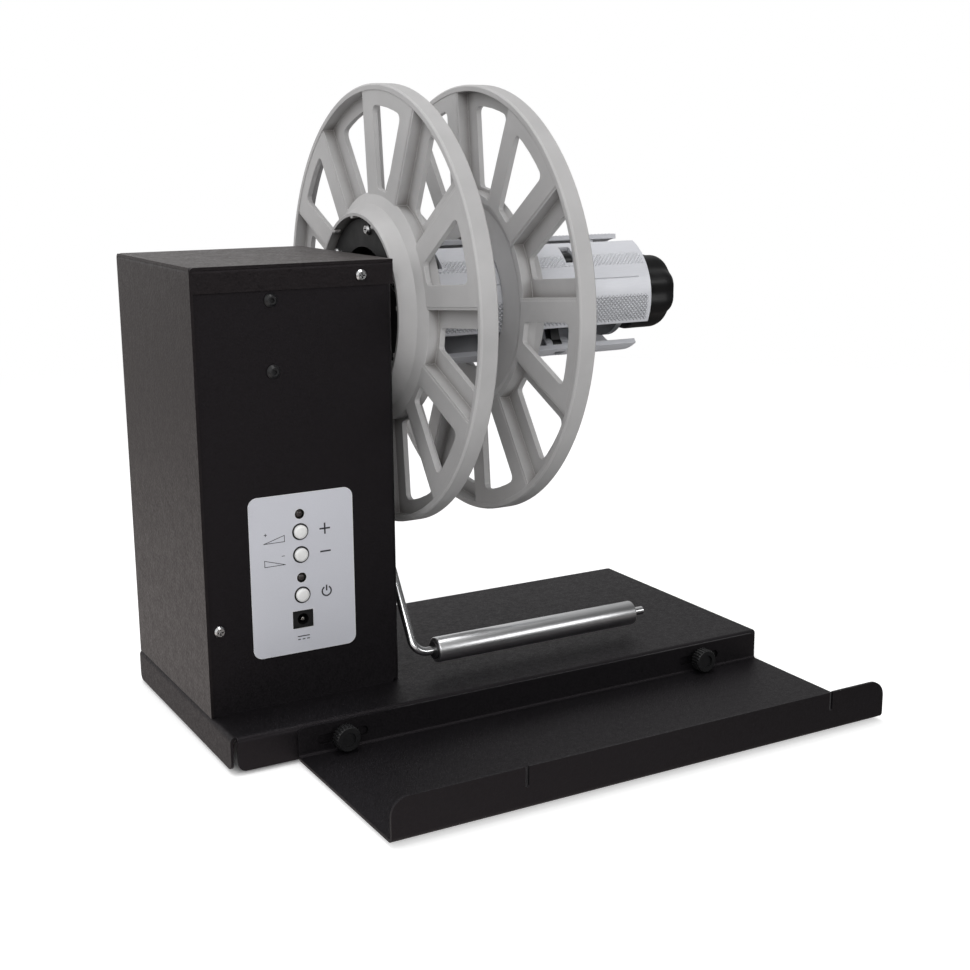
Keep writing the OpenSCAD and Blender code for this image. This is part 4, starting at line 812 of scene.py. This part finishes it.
class UNWINDER_OT_knob_body(bpy.types.Operator):
    """Moulds the end knob with soft flutes"""
    bl_idname = "unwinder.knob_body"
    bl_label = "Knob body"

    def execute(self, context):
        low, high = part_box("core_knob")
        length, radius = high.x - low.x, (high.z - low.z) / 2
        seat_r, seat = KNOB_SEAT
        outline = [(seat, 0), (seat, seat_r), (0, seat_r), (0, radius - KNOB_FOOT)]
        outline += self.curve(KNOB_FOOT, radius - KNOB_FOOT, KNOB_FOOT, 180, 90, FOOT_STEPS)
        flat = length - KNOB_DOME - KNOB_FOOT
        outline += [(KNOB_FOOT + flat * k / SIDE_STEPS, radius) for k in range(1, SIDE_STEPS)]
        crown = radius - KNOB_DOME
        outline += self.curve(length - KNOB_DOME, crown, KNOB_DOME, 90, 0, DOME_STEPS)
        outline += [(length, crown * k / CROWN_STEPS) for k in reversed(range(CROWN_STEPS))]
        bm = spun(outline, (low.x, SPINDLE.y, SPINDLE.z), KNOB_STEPS)
        for v in bm.verts:
            self.flute(v, low.x, length, radius)
        bmesh.ops.recalc_face_normals(bm, faces=bm.faces)
        made = link("knob_body", bm, NODES["core_knob"].data.materials[0], "knob")
        smooth(made, TURNED_SHARP)
        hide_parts("core_knob")
        return {"FINISHED"}

    def curve(self, along, out, radius, start, stop, steps):
        """Points of a quarter circle round (along, out)"""
        angles = [math.radians(start + (stop - start) * k / steps) for k in range(1, steps + 1)]
        return [(along + radius * math.cos(a), out + radius * math.sin(a)) for a in angles]

    def flute(self, v, x0, length, radius):
        """Draws a point of the outer side in, most at the middle of a flute"""
        out = Vector((v.co.y - SPINDLE.y, v.co.z - SPINDLE.z))
        if out.length < FLUTE_START * radius:
            return
        wave = 0.5 + 0.5 * math.cos(KNOB_FLUTES * math.atan2(out.x, out.y))
        along = (v.co.x - x0) / length
        share = min(1.0, (out.length / radius - FLUTE_START) / FLUTE_RUN)
        share *= min(1.0, FLUTE_FOOT + along * FLUTE_RISE)
        inner = out * (1 - sizes().flute_depth * wave ** FLUTE_SHAPE * share / out.length)
        v.co.y, v.co.z = SPINDLE.y + inner.x, SPINDLE.z + inner.y


CAMERA_MM = (-396.842, -714.934, 309.530)
CAMERA_RIGHT = (0.8694683, -0.4939489, -0.0062776)
CAMERA_UP = (0.1162402, 0.1922263, 0.9744420)
CAMERA_BACK = (-0.4801178, -0.8479762, 0.2245514)
FOCAL_PIXELS = 1457.6
PHOTO_PIXELS = 970
SENSOR_MM = 36.0
LAMPS = {
    "key": dict(place=(-1.5, 0.35, 0.8), target=(0, 0, 0.15), size=1.2),
    "fill": dict(place=(-1.0, -1.7, 1.2), target=(0, 0, 0.15), size=1.0),
    "top": dict(place=(-0.1, 0.05, 1.7), target=(0, 0, 0), size=0.8),
    "strip": dict(place=(1.1, -1.8, 0.8), target=(0.05, 0, 0.05), size=1.9, height=0.6),
}
BRIGHT_TOWARDS = (-0.72, 0.58, 0.2)    # bright part of the surround
BRIGHT_RUN = (-0.5, 0.5)               # of the dot product with it, over which the surround brightens
FLOOR_SIZE = 6.0
FLOOR_COLOUR = (0.82, 0.82, 0.82, 1.0)
FLOOR_LIFT = 0.43                      # light that the floor adds to its own for the camera
FOOT_EDGE = (-6 * MM, 2 * MM)          # run of that light's edge, from the base's outline
FLOOR_FADE = (0.75, 1.4)               # distances between which the floor turns white for the camera
FLOOR_TINT = (1.0, 0.93, 0.9, 1.0)     # of the floor in reflections
FLOOR_SHINE = dict(low=1.0, high=0.14, start=-0.35, stop=0.25)     # its brightness there along X
FLOOR_DIM = dict(low=1.0, high=0.32, start=0.32, stop=1.0)         # and its fall with distance


class UNWINDER_OT_stage(bpy.types.Operator):
    """Sets up the camera, a pale floor and soft light"""
    bl_idname = "unwinder.stage"
    bl_label = "Stage"

    def execute(self, context):
        scene = context.scene
        scene.view_settings.view_transform = "Standard"
        self.camera(scene)
        self.floor(scene)
        self.world(scene)
        for name, lamp in LAMPS.items():
            power = getattr(scene.unwinder_stage, name + "_power")
            self.lamp(scene, name + "_light", power=power, **lamp)
        return {"FINISHED"}

    def camera(self, scene):
        data = bpy.data.cameras.new("camera")
        data.sensor_width = SENSOR_MM
        data.lens = FOCAL_PIXELS / PHOTO_PIXELS * SENSOR_MM
        made = bpy.data.objects.new("camera", data)
        scene.collection.objects.link(made)
        axes = Matrix((CAMERA_RIGHT, CAMERA_UP, CAMERA_BACK)).transposed()
        made.matrix_world = Matrix.Translation(Vector(CAMERA_MM) * MM) @ axes.to_4x4()
        scene.camera = made

    def floor(self, scene):
        bm = bmesh.new()
        bmesh.ops.create_grid(bm, x_segments=1, y_segments=1, size=FLOOR_SIZE)
        mesh = bpy.data.meshes.new("floor")
        bm.to_mesh(mesh)
        bm.free()
        made = bpy.data.objects.new("floor", mesh)
        scene.collection.objects.link(made)
        made.data.materials.append(self.floor_white())

    def floor_white(self):
        """Pale floor that looks white to the camera and in reflections, and keeps the shadow"""
        finish = Finish("floor_white").set(Base_Color=FLOOR_COLOUR, Roughness=0.9, Specular_IOR_Level=0.0)
        path = finish.add("ShaderNodeLightPath")
        camera = path.outputs["Is Camera Ray"]
        split = finish.add("ShaderNodeSeparateXYZ")
        finish.join(finish.coords, split.inputs[0])
        away = finish.vector("LENGTH", finish.coords).outputs["Value"]
        lift = finish.math("MULTIPLY", camera, self.beside(finish, split))
        lit = finish.add("ShaderNodeAddShader")
        finish.join(finish.shader.outputs[0], lit.inputs[0])
        finish.join(finish.light("ShaderNodeEmission", lift), lit.inputs[1])
        sideways = finish.span(split.outputs["X"], **FLOOR_SHINE)
        shine = finish.math("MULTIPLY", sideways, finish.span(away, **FLOOR_DIM))
        mirrored = finish.light("ShaderNodeEmission", shine, FLOOR_TINT)
        near = finish.mix(path.outputs["Is Glossy Ray"], lit.outputs[0], mirrored)
        far = finish.math("MULTIPLY", finish.span(away, 0.0, 1.0, *FLOOR_FADE), camera)
        surface = finish.mix(far, near, finish.light("ShaderNodeEmission", 1.0))
        finish.join(surface, finish.tree.nodes["Material Output"].inputs["Surface"])
        return finish.material

    def beside(self, finish, split):
        """Light that the floor adds for the camera, none of it under the base"""
        low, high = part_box("base_plate")
        past = []
        for axis, a, b in (("X", low.x, high.x), ("Y", low.y, high.y)):
            off = finish.math("SUBTRACT", split.outputs[axis], (a + b) / 2)
            past.append(finish.math("SUBTRACT", finish.math("ABSOLUTE", off), (b - a) / 2))
        return finish.span(finish.math("MAXIMUM", *past), 0.0, FLOOR_LIFT, *FOOT_EDGE)

    def world(self, scene):
        """White to the camera, and otherwise a surround that is bright on the left and dim on the right"""
        stage = scene.unwinder_stage
        made = bpy.data.worlds.new("studio")
        made.use_nodes = True
        nodes = Nodes(made.node_tree)
        towards = nodes.add("ShaderNodeTexCoord").outputs["Generated"]
        side = nodes.vector("DOT_PRODUCT", towards, BRIGHT_TOWARDS).outputs["Value"]
        strength = nodes.span(side, stage.dark_side, stage.bright_side, *BRIGHT_RUN)
        path = nodes.add("ShaderNodeLightPath")
        seen = nodes.math("MAXIMUM", path.outputs["Is Camera Ray"], path.outputs["Is Transmission Ray"])
        surround = nodes.tree.nodes["Background"]
        surround.inputs["Color"].default_value = WHITE
        nodes.join(strength, surround.inputs["Strength"])
        surface = nodes.mix(seen, surround.outputs[0], nodes.light("ShaderNodeBackground", 1.0))
        nodes.join(surface, nodes.tree.nodes["World Output"].inputs["Surface"])
        scene.world = made

    def lamp(self, scene, name, place, target, size, power, height=None):
        """A soft square light, or an oblong one where a height is given"""
        data = bpy.data.lights.new(name, "AREA")
        data.size = size
        if height:
            data.shape = "RECTANGLE"
            data.size_y = height
        data.energy = power
        made = bpy.data.objects.new(name, data)
        made.location = place
        made.rotation_euler = (Vector(target) - Vector(place)).to_track_quat("-Z", "Y").to_euler()
        scene.collection.objects.link(made)


class UNWINDER_PT_panel(bpy.types.Panel):
    """Lists the pieces that make up the looks"""
    bl_idname = "UNWINDER_PT_panel"
    bl_label = "Label unwinder"
    bl_space_type = "VIEW_3D"
    bl_region_type = "UI"
    bl_category = "Unwinder"

    def draw(self, context):
        for operator in OPERATORS:
            self.layout.operator(operator.bl_idname)


OPERATORS = (UNWINDER_OT_finishes, UNWINDER_OT_panel_marks, UNWINDER_OT_button_rings, UNWINDER_OT_socket_pin,
             UNWINDER_OT_fin_knurls, UNWINDER_OT_roller_sleeve, UNWINDER_OT_knob_body, UNWINDER_OT_stage)
GROUPS = {"unwinder_sizes": UnwinderSizes, "unwinder_colours": UnwinderColours,
          "unwinder_stage": UnwinderStage}


def register():
    for kind in (*GROUPS.values(), *OPERATORS, UNWINDER_PT_panel):
        bpy.utils.register_class(kind)
    for name, group in GROUPS.items():
        setattr(bpy.types.Scene, name, PointerProperty(type=group))


def unregister():
    for name in GROUPS:
        delattr(bpy.types.Scene, name)
    for kind in reversed((*GROUPS.values(), *OPERATORS, UNWINDER_PT_panel)):
        bpy.utils.unregister_class(kind)


def main():
    register()
    bpy.ops.unwinder.finishes()
    bpy.ops.unwinder.panel_marks()
    bpy.ops.unwinder.button_rings()
    bpy.ops.unwinder.socket_pin()
    bpy.ops.unwinder.fin_knurls()
    bpy.ops.unwinder.roller_sleeve()
    bpy.ops.unwinder.knob_body()
    bpy.ops.unwinder.stage()


if __name__ == "__main__":
    main()
